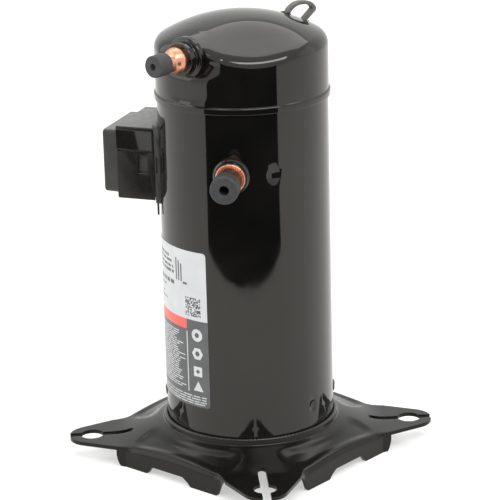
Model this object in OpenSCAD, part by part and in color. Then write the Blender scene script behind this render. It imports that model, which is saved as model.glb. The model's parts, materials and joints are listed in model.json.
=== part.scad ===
// Hermetic scroll compressor on a square pressed base plate.
// Millimetres. +Z is up and is the shaft axis.
// The origin is on the shaft axis, in the plane the feet stand on.
// Azimuths are degrees about +Z from +X. The crank points along +X at rest.

/* [Shell] */
// Outer diameter of the shell tube
shell_od = 139.7; // [139:0.1:141]
// Wall of the shell tube
shell_wall = 3.2; // [2.8:0.1:3.6]
// Height of the top of the cap above the feet
overall_z = 375; // [370:1:380]
// Height of the seam between the tube and the cap
seam_z = 306.5; // [305:0.5:308]

/* [Base] */
// Distance between neighbouring mounting holes
hole_pitch = 190.5; // [188:0.5:192]
// Diameter of a mounting hole
hole_d = 19; // [17:0.5:20]
// Side of the square part of the base
base_side = 201; // [199:1:203]
// Height of the ears' upper face above the feet
ear_z = 17; // [16:1:19]
// Thickness of the pressed sheet
sheet_t = 3; // [2.6:0.1:3.2]

/* [Stub tubes] */
// Azimuth of the suction stub
suction_az = -57.6; // [-60:0.1:-55]
// Height of the suction stub
suction_z = 257; // [255:1:259]
// Inside diameter of the suction stub
suction_id = 19.2; // [19:0.1:19.5]
// Height of the discharge stub
discharge_z = 349.5; // [348:0.5:350]
// Inside diameter of the discharge stub
discharge_id = 12.8; // [12.5:0.1:13]

/* [Terminal box] */
// Azimuth of the terminal box
terminal_az = -159.5; // [-162:0.5:-157]
// Height of the terminal above the feet
terminal_z = 247.5; // [246:0.5:249]
// Width of the box cover
box_w = 66; // [64:1:68]

/* [Scroll set] */
// Pitch of the involute wraps
wrap_pitch = 16; // [15.8:0.1:16.2]
// Wall thickness of the wraps
wrap_t = 3.4; // [3.2:0.1:3.5]
// Clearance left between the flanks
flank_gap = 0.25; // [0.2:0.05:0.3]
// Height of the wraps
wrap_h = 20; // [18:1:20]

/* [Motor] */
// Length of the lamination stack
stack_h = 80; // [76:1:80]
// Number of stator slots
slot_count = 24; // [18:6:24]
// Radial air gap
air_gap = 0.4; // [0.3:0.1:0.6]

/* [Hidden] */
$fn = 96;

eps = 0.01;
fit_gap = 0.05;          // radial gap of a pressed, welded or running round fit
shell_r = shell_od / 2;
bore_r = shell_r - shell_wall;
crank_e = wrap_pitch / 2 - wrap_t - flank_gap;
hole_at = hole_pitch / 2;
half_side = base_side / 2;

// Base
ear_r = 19;
slot_w = 6.8;
slot_in_r = 103.2;
ear_root = 52;           // where an ear's edge leaves the side of the square
lip_z = ear_z + 16;

// Cap
cap_r = shell_r + 0.55;
cap_wall = 3;
crown_r = 130;
knuckle_r = 12;
rim_h = 5;
rim_r = cap_r + 1.3;
pocket_y = 63.5;         // distance from the axis to the flat round the discharge fitting
pocket_r = 29;
facet_az = -38;
facet_z = seam_z + 43.5;   // where the slanted flat meets the cap's side
facet_tilt = 33;

// Heights of the machinery
tube_z0 = 27;
tube_z1 = seam_z + 1.5;
bowl_z = 8;
stack_z = 92;
hub_z = 200;             // lower end of the main bearing hub
cup_z = 233;             // floor of the cup round the crank pin
thrust_z = 259.2;        // thrust face of the main bearing housing
orb_z = 259.5;           // underside of the orbiting end plate
orb_t = 10.2;
wrap_z = orb_z + orb_t;
fixed_z = wrap_z + wrap_h + 0.3;
fixed_t = 10;
plate_z = tube_z1;       // underside of the partition's rim
raised_z = 316;          // underside of the partition's raised middle

// Scroll set
base_circle = wrap_pitch / (2 * PI);
wrap_start = 3.9;
wrap_end = 17.6;
orb_r = 51;
cavity_r = 51.6;
fixed_r = 56;
post_r = 5;
post_at = 61;
post_az0 = -18;
oldham_ri = 42;
oldham_ro = 50;
oldham_z = 253;
oldham_h = 5.8;
key_w = 8;

// Shaft
journal_r = 14;
shaft_r = 12.5;
lower_r = 9.5;
pin_r = 9.5;
pin_flat = 7.5;
bushing_r = 13.4;

black = [0.03, 0.03, 0.03];
steel = [0.55, 0.56, 0.58];
copper = [0.85, 0.48, 0.34];
iron = [0.32, 0.33, 0.34];

// Places children on a radial axis: local X points outward at the azimuth, at height z.
module radial(az, z) {
    rotate([0, 0, az]) translate([0, 0, z]) children();
}

// A round bar along local X, from x0 to x1.
module bar_x(x0, x1, r) {
    translate([x0, 0, 0]) rotate([0, 90, 0]) cylinder(h = x1 - x0, r = r);
}

// A round tube about Z.
module tube_z(z0, z1, ro, ri) {
    translate([0, 0, z0]) difference() {
        cylinder(h = z1 - z0, r = ro);
        translate([0, 0, -1]) cylinder(h = z1 - z0 + 2, r = ri);
    }
}

// A wedge of a circle in the plane, centred on azimuth 0, for cutting sectors.
module sector2d(half_angle, r) {
    polygon([[0, 0], [r, -r * tan(half_angle)], [r, r * tan(half_angle)]]);
}

// ---------------------------------------------------------------- base plate

// The straight edge of an ear leaves the square's side at its root.
// It meets the ear's circle at the tangent.
ear_dx = hole_at - ear_root;
ear_dy = hole_at - half_side;
ear_d = norm([ear_dx, ear_dy]);
ear_turn = atan2(ear_dy, ear_dx) + asin(ear_r / ear_d);
ear_len = sqrt(ear_d * ear_d - ear_r * ear_r);
ear_tangent = [ear_root + ear_len * cos(ear_turn), half_side + ear_len * sin(ear_turn)];

module ear2d() {
    translate([hole_at, hole_at]) circle(r = ear_r);
    polygon([
        [0, 0],
        [0, half_side],
        [ear_root, half_side],
        ear_tangent,
        [hole_at, hole_at],
        [ear_tangent.y, ear_tangent.x],
        [half_side, ear_root],
        [half_side, 0]
    ]);
}

// Section of the pressed sheet: lip at the shell, valley, slope and flat ears.
module sheet_section() {
    polygon([
        [shell_r + fit_gap, lip_z - 6],
        [shell_r + fit_gap, lip_z],
        [shell_r + 2.8, lip_z],
        [shell_r + 3.6, lip_z - 2],
        [shell_r + 5.6, lip_z - 5],
        [88, ear_z + 6.8],
        [100, ear_z + 2.6],
        [108, ear_z + 0.6],
        [114, ear_z],
        [165, ear_z],
        [165, ear_z - sheet_t],
        [113, ear_z - sheet_t],
        [106, ear_z - sheet_t + 0.8],
        [86, ear_z + 4],
        [shell_r + 4, lip_z - 8]
    ]);
}

// Everything below the sheet's upper face, used to trim the skirts.
module under_sheet() {
    rotate_extrude() polygon([
        [60, -1],
        [60, lip_z],
        [shell_r + 5.6, lip_z - 5],
        [88, ear_z + 6.8],
        [100, ear_z + 2.6],
        [108, ear_z + 0.6],
        [114, ear_z],
        [165, ear_z],
        [165, -1]
    ]);
}

// One skirt, along the -Y side: two feet with a shallow web between them.
module skirt() {
    difference() {
        translate([0, -half_side + sheet_t, 0]) rotate([90, 0, 0]) linear_extrude(sheet_t) polygon([
            [-63, ear_z],
            [-62, 6],
            [-57, 0],
            [-27, 0],
            [-18, 6.5],
            [9, 6.5],
            [18, 4],
            [24, 0],
            [51.5, 0],
            [55, 9.5],
            [58, 13],
            [60, ear_z],
            [40, ear_z + 12],
            [-40, ear_z + 12]
        ]);
        difference() {
            translate([-80, -110, 0]) cube([160, 40, 60]);
            under_sheet();
        }
    }
}

module base_plate() {
    color(black) difference() {
        union() {
            intersection() {
                rotate_extrude() sheet_section();
                linear_extrude(lip_z + 1) {
                    for (k = [0:3]) rotate(90 * k) ear2d();
                }
            }
            skirt();
            rotate([0, 0, 180]) skirt();
            rotate([0, 0, 90]) mirror([1, 0, 0]) skirt();
            rotate([0, 0, 270]) mirror([1, 0, 0]) skirt();
        }
        for (k = [0:3]) rotate([0, 0, 45 + 90 * k]) {
            translate([hole_at * sqrt(2), 0, -1]) cylinder(h = lip_z, r = hole_d / 2);
            translate([slot_in_r, -slot_w / 2, -1]) cube([80, slot_w, lip_z]);
            translate([slot_in_r, 0, -1]) cylinder(h = lip_z, r = slot_w / 2);
        }
    }
}

// ---------------------------------------------------------------- pressure shell

module bottom_cap() {
    rim = bore_r - fit_gap;
    color(black) rotate_extrude() polygon([
        [0, bowl_z],
        [46, bowl_z + 2.5],
        [57, bowl_z + 6],
        [64, bowl_z + 12],
        [rim, bowl_z + 19],
        [rim, tube_z0 + 15],
        [rim - shell_wall, tube_z0 + 15],
        [rim - shell_wall, bowl_z + 20],
        [61.4, bowl_z + 14],
        [55.4, bowl_z + 8.8],
        [45.4, bowl_z + 5.6],
        [0, bowl_z + 3.1]
    ]);
}

bracket_az = 41;
bracket_z = 52.5;

module shell_tube() {
    color(black) difference() {
        union() {
            cylinder_from(tube_z0, tube_z1, shell_r);
            for (side = [0, 180]) radial(bracket_az + side, bracket_z)
                translate([shell_r - 4.2, 0, 0]) sphere(r = 6);
        }
        dish(-29.8, 255.9, 7, 1.2);
        dish(-1.7, bracket_z, 5, 1);
        cylinder_from(tube_z0 - 5, tube_z1 + 1, bore_r);
        radial(suction_az, suction_z) bar_x(40, 90, suction_id / 2 + 1.7);
        radial(terminal_az, terminal_z) bar_x(40, 90, 21);
    }
}

// Shallow round hollow of radius r pressed into the shell.
module dish(az, z, r, depth) {
    ball = (r * r + depth * depth) / (2 * depth);
    radial(az, z) translate([shell_r + ball - depth, 0, 0]) sphere(r = ball);
}

module cylinder_from(z0, z1, r) {
    translate([0, 0, z0]) cylinder(h = z1 - z0, r = r);
}

// The cap's solid outline before hollowing, shrunk by s on every side.
module cap_solid(s) {
    r = cap_r - s;
    k = knuckle_r - s;
    c = crown_r - s;
    zc = overall_z - crown_r;
    zk = zc + sqrt(pow(crown_r - knuckle_r, 2) - pow(cap_r - knuckle_r, 2));
    kx = r - k;
    tangent = [0, zc] + c * [kx, zk - zc] / norm([kx, zk - zc]);
    rotate_extrude() {
        translate([0, seam_z]) square([r, zk - seam_z]);
        intersection() {
            translate([kx, zk]) circle(r = k);
            square([r + 1, overall_z]);
        }
        intersection() {
            translate([0, zc]) circle(r = c);
            polygon([
                [0, zk - 1], [kx, zk - 1], tangent,
                1.2 * tangent - 0.2 * [0, zc], [0, overall_z + 40]
            ]);
        }
    }
}

// The two places pressed flat, as solids to cut from the outline shrunk by s.
module cap_flats(s) {
    translate([0, -pocket_y + s, discharge_z]) rotate([90, 0, 0]) cylinder(h = 60, r = pocket_r + s);
    rotate([0, 0, facet_az]) translate([cap_r, 0, facet_z]) rotate([0, facet_tilt, 0])
        translate([-80, -80, -s]) cube([160, 160, 60]);
}

module top_cap() {
    color(black) difference() {
        union() {
            difference() {
                cap_solid(0);
                cap_flats(0);
            }
            cylinder_from(seam_z, seam_z + rim_h, rim_r);
        }
        difference() {
            cap_solid(cap_wall);
            cap_flats(cap_wall);
        }
        cylinder_from(seam_z - 1, seam_z + rim_h, shell_r + fit_gap);
        radial(-90, discharge_z) bar_x(40, 90, 9.55);
    }
}

module partition_plate() {
    color(steel) difference() {
        rotate_extrude() polygon([
            [9, raised_z],
            [9, raised_z + 3],
            [47, raised_z + 3],
            [56, plate_z + 3],
            [shell_r, plate_z + 3],
            [shell_r, plate_z],
            [55, plate_z],
            [45.5, raised_z]
        ]);
        relief_place() cylinder(h = 40, r = 5, center = true);
    }
}

// Strap loop in a radial plane: outline points as [radius, height above the seam].
lug_outer = [
    [40.6, 58.5],
    [41.7, 60.8],
    [43.4, 64.0],
    [46.0, 66.6],
    [49.7, 68.8],
    [54.4, 69.9],
    [60.1, 69.7],
    [65.8, 67.7],
    [69.4, 62.6],
    [66.6, 58.6],
    [63.3, 55.8],
    [60.2, 53.2],
    [58.3, 51.1]
];
lug_inner = [
    [56.1, 53.1],
    [58.2, 55.4],
    [61.3, 58.0],
    [64.4, 60.8],
    [66.4, 62.4],
    [64.0, 65.3],
    [59.5, 66.7],
    [54.6, 66.9],
    [50.9, 66.0],
    [47.8, 64.2],
    [45.8, 62.2],
    [44.3, 59.4],
    [43.4, 57.3]
];
lug_az = 70;
lug_w = 6;

module lifting_lug() {
    color(black) difference() {
        rotate([0, 0, lug_az]) translate([0, lug_w / 2, seam_z]) rotate([90, 0, 0])
            linear_extrude(lug_w) polygon(concat(lug_outer, lug_inner));
        cap_solid(-fit_gap);
    }
}

module rating_label() {
    color("white") intersection() {
        tube_z(57, 190.5, shell_r + 0.3, shell_r + fit_gap);
        rotate([0, 0, -123.5]) translate([0, 0, 50]) linear_extrude(160) sector2d(46, 100);
    }
}

// ---------------------------------------------------------------- stub tubes

module discharge_fitting() {
    color(black) radial(-90, discharge_z) difference() {
        union() {
            bar_x(pocket_y - 6, pocket_y, 9.5);
            bar_x(pocket_y + fit_gap, pocket_y + 4.5, 17);
            bar_x(pocket_y - eps, pocket_y + 5, 9.5);
            bar_x(pocket_y + 4, pocket_y + 12, 13.5);
        }
        bar_x(pocket_y - 7, pocket_y + 4, 7);
        bar_x(pocket_y + 3, pocket_y + 13, discharge_id / 2 + 1.6);
    }
}

discharge_tip = 100;

module discharge_tube() {
    ro = discharge_id / 2 + 1.55;
    swell = pocket_y + 13;
    color(copper) radial(-90, discharge_z) rotate([0, 90, 0]) rotate_extrude() polygon([
        [discharge_id / 2, pocket_y + 4.1],
        [ro, pocket_y + 4.1],
        [ro, swell - 0.8],
        [10.4, swell - 0.7],
        [10.6, swell + 3],
        [9.4, swell + 6.5],
        [7.6, swell + 9],
        [7.6, discharge_tip],
        [discharge_id / 2, discharge_tip]
    ]);
}

module discharge_plug() {
    color([0.08, 0.08, 0.09]) radial(-90, discharge_z) difference() {
        bar_x(discharge_tip - 9, discharge_tip + 5, 8.8);
        bar_x(discharge_tip - 10, discharge_tip + 0.3, 7.65);
        bar_x(discharge_tip + 2, discharge_tip + 6, 2.6);
    }
}

suction_tip = 97.5;
suction_ro = suction_id / 2 + 0.95;

module suction_fitting() {
    color(steel) radial(suction_az, suction_z) difference() {
        union() {
            bar_x(60, 73, 14.8);
            bar_x(72.5, 77.5, 12.9);
        }
        bar_x(50, 80, suction_ro + fit_gap);
        radial_clear();
    }
}

// The shell's own outside, on the stub's axis.
module radial_clear() {
    translate([0, 0, -60]) cylinder(h = 120, r = shell_r + fit_gap);
}

module suction_tube() {
    color(copper) radial(suction_az, suction_z) rotate([0, 90, 0]) rotate_extrude() polygon([
        [suction_id / 2, 63],
        [suction_ro, 63],
        [suction_ro, suction_tip],
        [suction_id / 2, suction_tip]
    ]);
}

module suction_plug() {
    color([0.08, 0.08, 0.09]) radial(suction_az, suction_z) difference() {
        union() {
            bar_x(suction_tip + 0.1, suction_tip + 13.5, 11.4);
            bar_x(suction_tip - 12, suction_tip + 1, suction_id / 2 - 0.1);
        }
        bar_x(suction_tip - 6, suction_tip + 14, 3.9);
    }
}

module suction_baffle() {
    color(steel) difference() {
        intersection() {
            tube_z(238, 267, bore_r - 0.2, 60.5);
            rotate([0, 0, suction_az]) linear_extrude(400) sector2d(17.5, 90);
        }
        intersection() {
            tube_z(230, 280, bore_r + 2, 61.7);
            rotate([0, 0, suction_az]) linear_extrude(400) sector2d(16, 90);
        }
    }
}

// ---------------------------------------------------------------- terminal

fence_r = 24;
box_step = 99.5;
box_front = 112.1;
cover_wall = 2;
cover_z0 = -27.3;
cover_z1 = 34.2;
tray_r = 73.6;
tray_w = box_w + 9;
frame_depth = 84.5;

module terminal_cup() {
    color(steel) radial(terminal_az, terminal_z) difference() {
        bar_x(62.6, 71, 20.9);
        bar_x(65.2, 72, 18.6);
        pin_places() bar_x(60, 73, 3.45);
    }
}

module pin_places() {
    for (k = [0:2]) rotate([120 * k, 0, 0]) translate([0, 0, 8.5]) children();
}

module terminal_glass() {
    color([0.2, 0.35, 0.3]) radial(terminal_az, terminal_z) pin_places() difference() {
        bar_x(61, 68.5, 3.4);
        bar_x(60, 70, 1.65);
    }
}

module terminal_pins() {
    color([0.75, 0.68, 0.5]) radial(terminal_az, terminal_z) pin_places() union() {
        bar_x(55.5, 79, 1.6);
        translate([73.2, -3.2, -0.5]) cube([9.5, 6.4, 1]);
    }
}

module terminal_fence() {
    color(black) radial(terminal_az, terminal_z) difference() {
        bar_x(60, 79, fence_r);
        bar_x(50, 90, fence_r - 1.6);
        radial_clear();
    }
}

// Tray behind the cover: a flange curved to the shell, with a low wall inside the cover.
module terminal_box_base() {
    w = box_w - 2 * cover_wall - 0.8;
    h = cover_z1 - cover_z0 - 2 * cover_wall - 0.8;
    color([0.1, 0.1, 0.1]) radial(terminal_az, terminal_z) difference() {
        union() {
            intersection() {
                translate([52, -tray_w / 2, -28.5]) cube([30, tray_w, 66.5]);
                translate([0, 0, -60]) cylinder(h = 120, r = tray_r);
            }
            difference() {
                translate([60, -w / 2, cover_z0 + cover_wall + 0.4]) cube([frame_depth - 60, w, h]);
                translate([59, -w / 2 + 1.8, cover_z0 + cover_wall + 2.2])
                    cube([30, w - 3.6, h - 3.6]);
                translate([74.2, -conduit_r - 1, cover_z0]) cube([30, 2 * conduit_r + 2, 10]);
            }
            translate([61.8, tray_w / 2 - 2.5, -38]) cube([1.6, 1.6, 11]);
        }
        radial_clear();
        bar_x(50, 100, fence_r + 0.3);
        for (sy = [-1, 1]) translate([61.6, sy * tray_w / 2, 4]) cube([2.2, 3, 14], center = true);
    }
}

conduit_r = 11.1;
conduit_x = 86.4;

module terminal_box_cover() {
    h = cover_z1 - cover_z0;
    color([0.1, 0.1, 0.1]) radial(terminal_az, terminal_z) difference() {
        union() {
            translate([60, -box_w / 2, cover_z0]) cube([box_step - 60, box_w, h]);
            translate([box_step - 1, -box_w / 2 + 1.5, cover_z0 + 3.8])
                cube([box_front - box_step + 1, box_w - 3, h - 7.6]);
        }
        translate([58, -box_w / 2 + cover_wall, cover_z0 + cover_wall])
            cube([box_step - 58 - cover_wall, box_w - 2 * cover_wall, h - 2 * cover_wall]);
        translate([box_step - 3, -box_w / 2 + 3.5, cover_z0 + 5.8])
            cube([box_front - box_step + 1, box_w - 7, h - 11.6]);
        translate([0, 0, -60]) cylinder(h = 120, r = tray_r + fit_gap);
        for (sy = [-1, 1]) {
            translate([76.2, sy * box_w / 2, 2.7]) cube([8.7, 10, 15.4], center = true);
            translate([83.4, sy * box_w / 2, 22.7]) cube([30.8, 1.8, 16.2], center = true);
        }
        translate([conduit_x, 0, cover_z0 - 1]) cylinder(h = 4, r = conduit_r);
    }
}

module lead_plug() {
    color([0.75, 0.72, 0.62]) radial(terminal_az, terminal_z) difference() {
        translate([55, -12, -9]) cube([5.8, 24, 20]);
        pin_places() bar_x(54, 62, 1.7);
    }
}

module lead_wires() {
    color([0.7, 0.3, 0.15]) radial(terminal_az, 0) for (k = [-1:1])
        translate([56.5, 6.5 * k, coil_top + 0.1]) cylinder(h = terminal_z - 9.1 - coil_top - 0.1, r = 1.7);
}

// ---------------------------------------------------------------- motor

module slot_cut2d(w, r0, r1) {
    translate([r0, -w / 2]) square([r1 - r0, w]);
}

slot_w_full = 5.4;
slot_r0 = 38.5;
slot_r1 = 56;
rotor_r = 35.9;
stator_ri = rotor_r + air_gap;
liner_over = 2;

module stator_core() {
    color(iron) translate([0, 0, stack_z]) difference() {
        cylinder(h = stack_h, r = bore_r - fit_gap);
        translate([0, 0, -1]) cylinder(h = stack_h + 2, r = stator_ri);
        for (k = [0:slot_count - 1]) rotate([0, 0, 360 / slot_count * k])
            translate([0, 0, -1]) linear_extrude(stack_h + 2) {
                slot_cut2d(slot_w_full, slot_r0, slot_r1);
                slot_cut2d(2.2, stator_ri - 1, slot_r0 + 1);
            }
        for (k = [0:3]) rotate([0, 0, 27 + 90 * k])
            translate([bore_r - 2.6, -11, -1]) cube([10, 22, stack_h + 2]);
    }
}

module slot_liners() {
    color([0.85, 0.82, 0.7]) translate([0, 0, stack_z - liner_over])
        for (k = [0:slot_count - 1]) rotate([0, 0, 360 / slot_count * k])
            linear_extrude(stack_h + 2 * liner_over) difference() {
                slot_cut2d(slot_w_full - 0.1, slot_r0 + 0.2, slot_r1 - 0.05);
                slot_cut2d(slot_w_full - 0.5, slot_r0 - 1, slot_r1 - 0.3);
            }
}

coil_ri = 39;
coil_ro = 59.5;
coil_h = 20;
coil_z = stack_z + stack_h + liner_over + 0.3;   // underside of the upper end turns
coil_top = coil_z + coil_h;

module end_turns(z0, z1) {
    rotate_extrude() polygon([
        [coil_ri, z0],
        [55.6, z0],
        [coil_ro, z0 + 5],
        [coil_ro, z1 - 5],
        [coil_ro - 4, z1],
        [coil_ri + 4, z1],
        [coil_ri, z1 - 4]
    ]);
}

module stator_windings() {
    color([0.72, 0.38, 0.2]) {
        translate([0, 0, coil_z]) end_turns(0, coil_h);
        translate([0, 0, stack_z - liner_over - 0.3]) mirror([0, 0, 1]) end_turns(0, coil_h);
        for (k = [0:slot_count - 1]) rotate([0, 0, 360 / slot_count * k])
            translate([0, 0, stack_z - liner_over - 1])
                linear_extrude(stack_h + 2 * liner_over + 2)
                    slot_cut2d(slot_w_full - 0.6, slot_r0 + 0.5, slot_r1 - 0.5);
    }
}

module motor_protector() {
    color([0.8, 0.8, 0.78]) radial(22, coil_top + 0.1) translate([50, 0, 0]) {
        cylinder(h = 6, r = 7.5);
        translate([0, 0, 5]) cylinder(h = 3.5, r = 5.5);
    }
}

module rotor_core() {
    color(iron) translate([0, 0, stack_z]) difference() {
        cylinder(h = stack_h, r = rotor_r);
        translate([0, 0, -1]) cylinder(h = stack_h + 2, r = shaft_r + fit_gap);
        for (k = [0:cage_bars - 1]) rotate([0, 0, 360 / cage_bars * k])
            translate([cage_at, 0, -1]) cylinder(h = stack_h + 2, r = bar_r + fit_gap);
    }
}

cage_bars = 28;
cage_at = 32.6;
bar_r = 1.9;
ring_h = 6;

module rotor_cage() {
    color([0.78, 0.79, 0.8]) {
        tube_z(stack_z - ring_h, stack_z - 0.02, rotor_r - 0.4, 23);
        tube_z(stack_z + stack_h + 0.02, stack_z + stack_h + ring_h, rotor_r - 0.4, 23);
        for (k = [0:cage_bars - 1]) rotate([0, 0, 360 / cage_bars * k])
            translate([cage_at, 0, stack_z - 1]) cylinder(h = stack_h + 2, r = bar_r);
    }
}

module half_ring(z0, z1, ro, ri, az) {
    difference() {
        tube_z(z0, z1, ro, ri);
        rotate([0, 0, az + 180]) translate([0, -ro - 1, z0 - 1]) cube([ro + 1, 2 * ro + 2, z1 - z0 + 2]);
    }
}

module upper_counterweight() {
    color(iron) union() {
        tube_z(180, 184, 19, shaft_r + fit_gap);
        half_ring(180, 198, 34.5, 19 - eps, 180);
        half_ring(180, 184, 19.5, shaft_r + fit_gap, 180);
    }
}

module lower_counterweight() {
    z1 = stack_z - ring_h - 0.05;
    color([0.7, 0.6, 0.35]) half_ring(z1 - 11, z1, 34.5, 23, 0);
}

// ---------------------------------------------------------------- shaft and bearings

module crankshaft() {
    top = 257;
    color(steel) difference() {
        union() {
            rotate_extrude() polygon([
                [0, 46.3],
                [lower_r - 0.6, 46.3],
                [lower_r, 46.9],
                [lower_r, 68],
                [shaft_r, 70],
                [shaft_r, 198.6],
                [journal_r, 199.6],
                [journal_r, cup_z + 0.3],
                [17, cup_z + 0.3],
                [17, cup_z + 3.6],
                [0, cup_z + 3.6]
            ]);
            translate([crank_e, 0, cup_z + 3]) difference() {
                cylinder(h = top - cup_z - 3, r = pin_r);
                translate([-20, -20 - pin_flat, -1]) cube([40, 20, 40]);
            }
        }
        cylinder_from(40, 66, 4.85);
        translate([crank_e * 0.6, 0, 64]) cylinder(h = 200, r = 2.2);
        translate([0, 0, 216]) rotate([0, 90, 0]) cylinder(h = 30, r = 1.6);
    }
}

module oil_pickup() {
    color(steel) difference() {
        union() {
            cylinder_from(18, 60, 4.8);
            cylinder_from(16, 18.5, 3.4);
        }
        cylinder_from(15, 61, 2.6);
        translate([-6, -0.8, 15]) cube([12, 1.6, 8]);
    }
}

module drive_bushing() {
    color([0.62, 0.6, 0.58]) translate([crank_e, 0, cup_z + 4]) difference() {
        cylinder(h = 19, r = bushing_r);
        intersection() {
            translate([0, 0, -1]) cylinder(h = 22, r = pin_r + fit_gap);
            translate([-20, -pin_flat - fit_gap, -2]) cube([40, 40, 24]);
        }
    }
}

module lower_bearing_bracket() {
    rim = bore_r - fit_gap;
    color(steel) difference() {
        union() {
            intersection() {
                cylinder_from(bracket_z - 1.5, bracket_z + 1.5, rim);
                rotate([0, 0, bracket_az]) translate([0, 0, 40]) linear_extrude(40) union() {
                    sector2d(24, 80);
                    rotate(180) sector2d(24, 80);
                    circle(r = 22);
                }
            }
            intersection() {
                tube_z(bracket_z - 1.5, bracket_z + 9, rim, rim - 3);
                rotate([0, 0, bracket_az]) linear_extrude(90) union() {
                    sector2d(21, 80);
                    rotate(180) sector2d(21, 80);
                }
            }
            cylinder_from(43, 66, 15);
        }
        cylinder_from(46, 70, 11.55);
        cylinder_from(44.85, 47, 9.3);
        cylinder_from(40, 50, 5.6);
    }
}

module lower_bearing_bush() {
    color([0.66, 0.5, 0.3]) tube_z(46.1, 65.8, 11.5, lower_r + fit_gap);
}

module thrust_washer() {
    color([0.8, 0.8, 0.75]) tube_z(44.9, 46.2, 9.2, 5.7);
}

module sump_magnet() {
    color(iron) translate([34, 0, bowl_z + 5.5]) cylinder(h = 5, r = 9);
}

// Ring, cup, hub and four arms; posts carry the fixed scroll.
module main_bearing_housing() {
    rim = bore_r - fit_gap;
    color(iron) difference() {
        union() {
            rotate_extrude() polygon([
                [15.6, hub_z],
                [21, hub_z],
                [22.5, hub_z + 2],
                [24, cup_z - 12],
                [33, cup_z - 4],
                [33, 245],
                [49.5, 247],
                [49.5, 252.5],
                [37, 252.5],
                [37, thrust_z],
                [27, thrust_z],
                [27, cup_z],
                [15.6, cup_z]
            ]);
            for (k = [0:3]) rotate([0, 0, post_az0 + 90 * k]) {
                intersection() {
                    translate([28, -11, 238]) cube([40, 22, 13]);
                    cylinder_from(230, 260, rim);
                }
                translate([post_at, 0, 245]) cylinder(h = 268.6 - 245, r = post_r);
            }
        }
        for (az = [0, 180]) rotate([0, 0, az])
            translate([37.2, -key_w / 2 - fit_gap, 248]) cube([21, key_w + 2 * fit_gap, 10]);
        for (k = [0:3]) rotate([0, 0, post_az0 + 90 * k])
            translate([post_at, 0, 252]) cylinder(h = 20, r = 2.55);
    }
}

module main_bearing_bush() {
    color([0.66, 0.5, 0.3]) tube_z(hub_z + 0.2, cup_z - 0.1, 15.55, journal_r + fit_gap);
}

// ---------------------------------------------------------------- scroll set

function involute(a, s) = base_circle * [
    cos(deg(a)) + (a + s) * sin(deg(a)),
    sin(deg(a)) - (a + s) * cos(deg(a))
];

function deg(a) = a * 180 / PI;

// One wrap in the plane, between two involute angles in radians.
module wrap2d(a0, a1) {
    n = ceil((a1 - a0) * 11);
    half = wrap_t / 2 / base_circle;
    step = (a1 - a0) / n;
    polygon(concat(
        [for (i = [0:n]) involute(a0 + step * i, half)],
        [for (i = [n:-1:0]) involute(a0 + step * i, -half)]
    ));
}

module orbiting_scroll() {
    color([0.6, 0.61, 0.62]) translate([crank_e, 0, 0]) difference() {
        union() {
            cylinder_from(orb_z, wrap_z, orb_r);
            cylinder_from(238, orb_z + 1, 19.5);
            translate([0, 0, wrap_z - 1]) linear_extrude(wrap_h + 1) wrap2d(wrap_start, wrap_end);
        }
        cylinder_from(237, 257.5, 15.05);
        for (az = [90, 270]) rotate([0, 0, az])
            translate([36.5, -key_w / 2 - fit_gap, orb_z - 1]) cube([20, key_w + 2 * fit_gap, 5.8]);
    }
}

module hub_bush() {
    color([0.66, 0.5, 0.3]) translate([crank_e, 0, 0]) tube_z(238.2, 257, 15, bushing_r + fit_gap);
}

module oldham_ring() {
    color([0.7, 0.7, 0.72]) translate([crank_e, 0, 0])
        tube_z(oldham_z, oldham_z + oldham_h, oldham_ro, oldham_ri);
}

// Two keys below the ring slide in the housing, two above it in the orbiting scroll.
module oldham_keys() {
    len = oldham_ro - oldham_ri;
    color([0.7, 0.7, 0.72]) translate([crank_e, 0, 0]) {
        for (az = [0, 180]) rotate([0, 0, az])
            translate([oldham_ri, -key_w / 2, 248.4]) cube([len, key_w, oldham_z - 0.03 - 248.4]);
        for (az = [90, 270]) rotate([0, 0, az])
            translate([oldham_ri, -key_w / 2, oldham_z + oldham_h + 0.03]) cube([len, key_w, 4.6]);
    }
}

seal_ri = 13.4;
seal_ro = 33.6;

module fixed_scroll() {
    top = fixed_z + fixed_t;
    color([0.55, 0.56, 0.57]) difference() {
        union() {
            difference() {
                cylinder_from(wrap_z + 0.3, fixed_z + 1, fixed_r);
                cylinder_from(wrap_z - 1, fixed_z, cavity_r);
            }
            cylinder_from(fixed_z, top, fixed_r);
            translate([0, 0, wrap_z + 0.3]) intersection() {
                linear_extrude(wrap_h + 0.5) rotate(180) wrap2d(wrap_start, wrap_end + PI - 0.2);
                cylinder(h = wrap_h + 1, r = cavity_r + 0.5);
            }
            tube_z(top - 1, top + 9, 40, seal_ro + 0.4);
            tube_z(top - 1, top + 7.5, seal_ri - 0.4, 6);
            for (k = [0:3]) rotate([0, 0, post_az0 + 90 * k])
                translate([post_at, 0, wrap_z + 0.3]) cylinder(h = 10, r = post_r);
            for (k = [0:3]) rotate([0, 0, post_az0 + 90 * k])
                translate([cavity_r + 1, -post_r, wrap_z + 0.3])
                    cube([post_at - cavity_r - 1, 2 * post_r, 10]);
        }
        cylinder_from(fixed_z - 1, top + 10, 5.5);
        for (k = [0:3]) rotate([0, 0, post_az0 + 90 * k])
            translate([post_at, 0, wrap_z - 1]) cylinder(h = 14, r = 3.95);
        for (az = [suction_az, suction_az + 180]) rotate([0, 0, az])
            translate([cavity_r - 1.4, -12, wrap_z - 1]) cube([12, 24, 16]);
        for (az = [100, 280]) rotate([0, 0, az]) translate([24, 0, fixed_z - 1]) cylinder(h = 20, r = 1);
    }
}

module guide_sleeves() {
    color(steel) for (k = [0:3]) rotate([0, 0, post_az0 + 90 * k])
        translate([post_at, 0, 0]) tube_z(268.65, wrap_z + 0.3 + 10 + 1.2, 3.9, 2.6);
}

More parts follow.
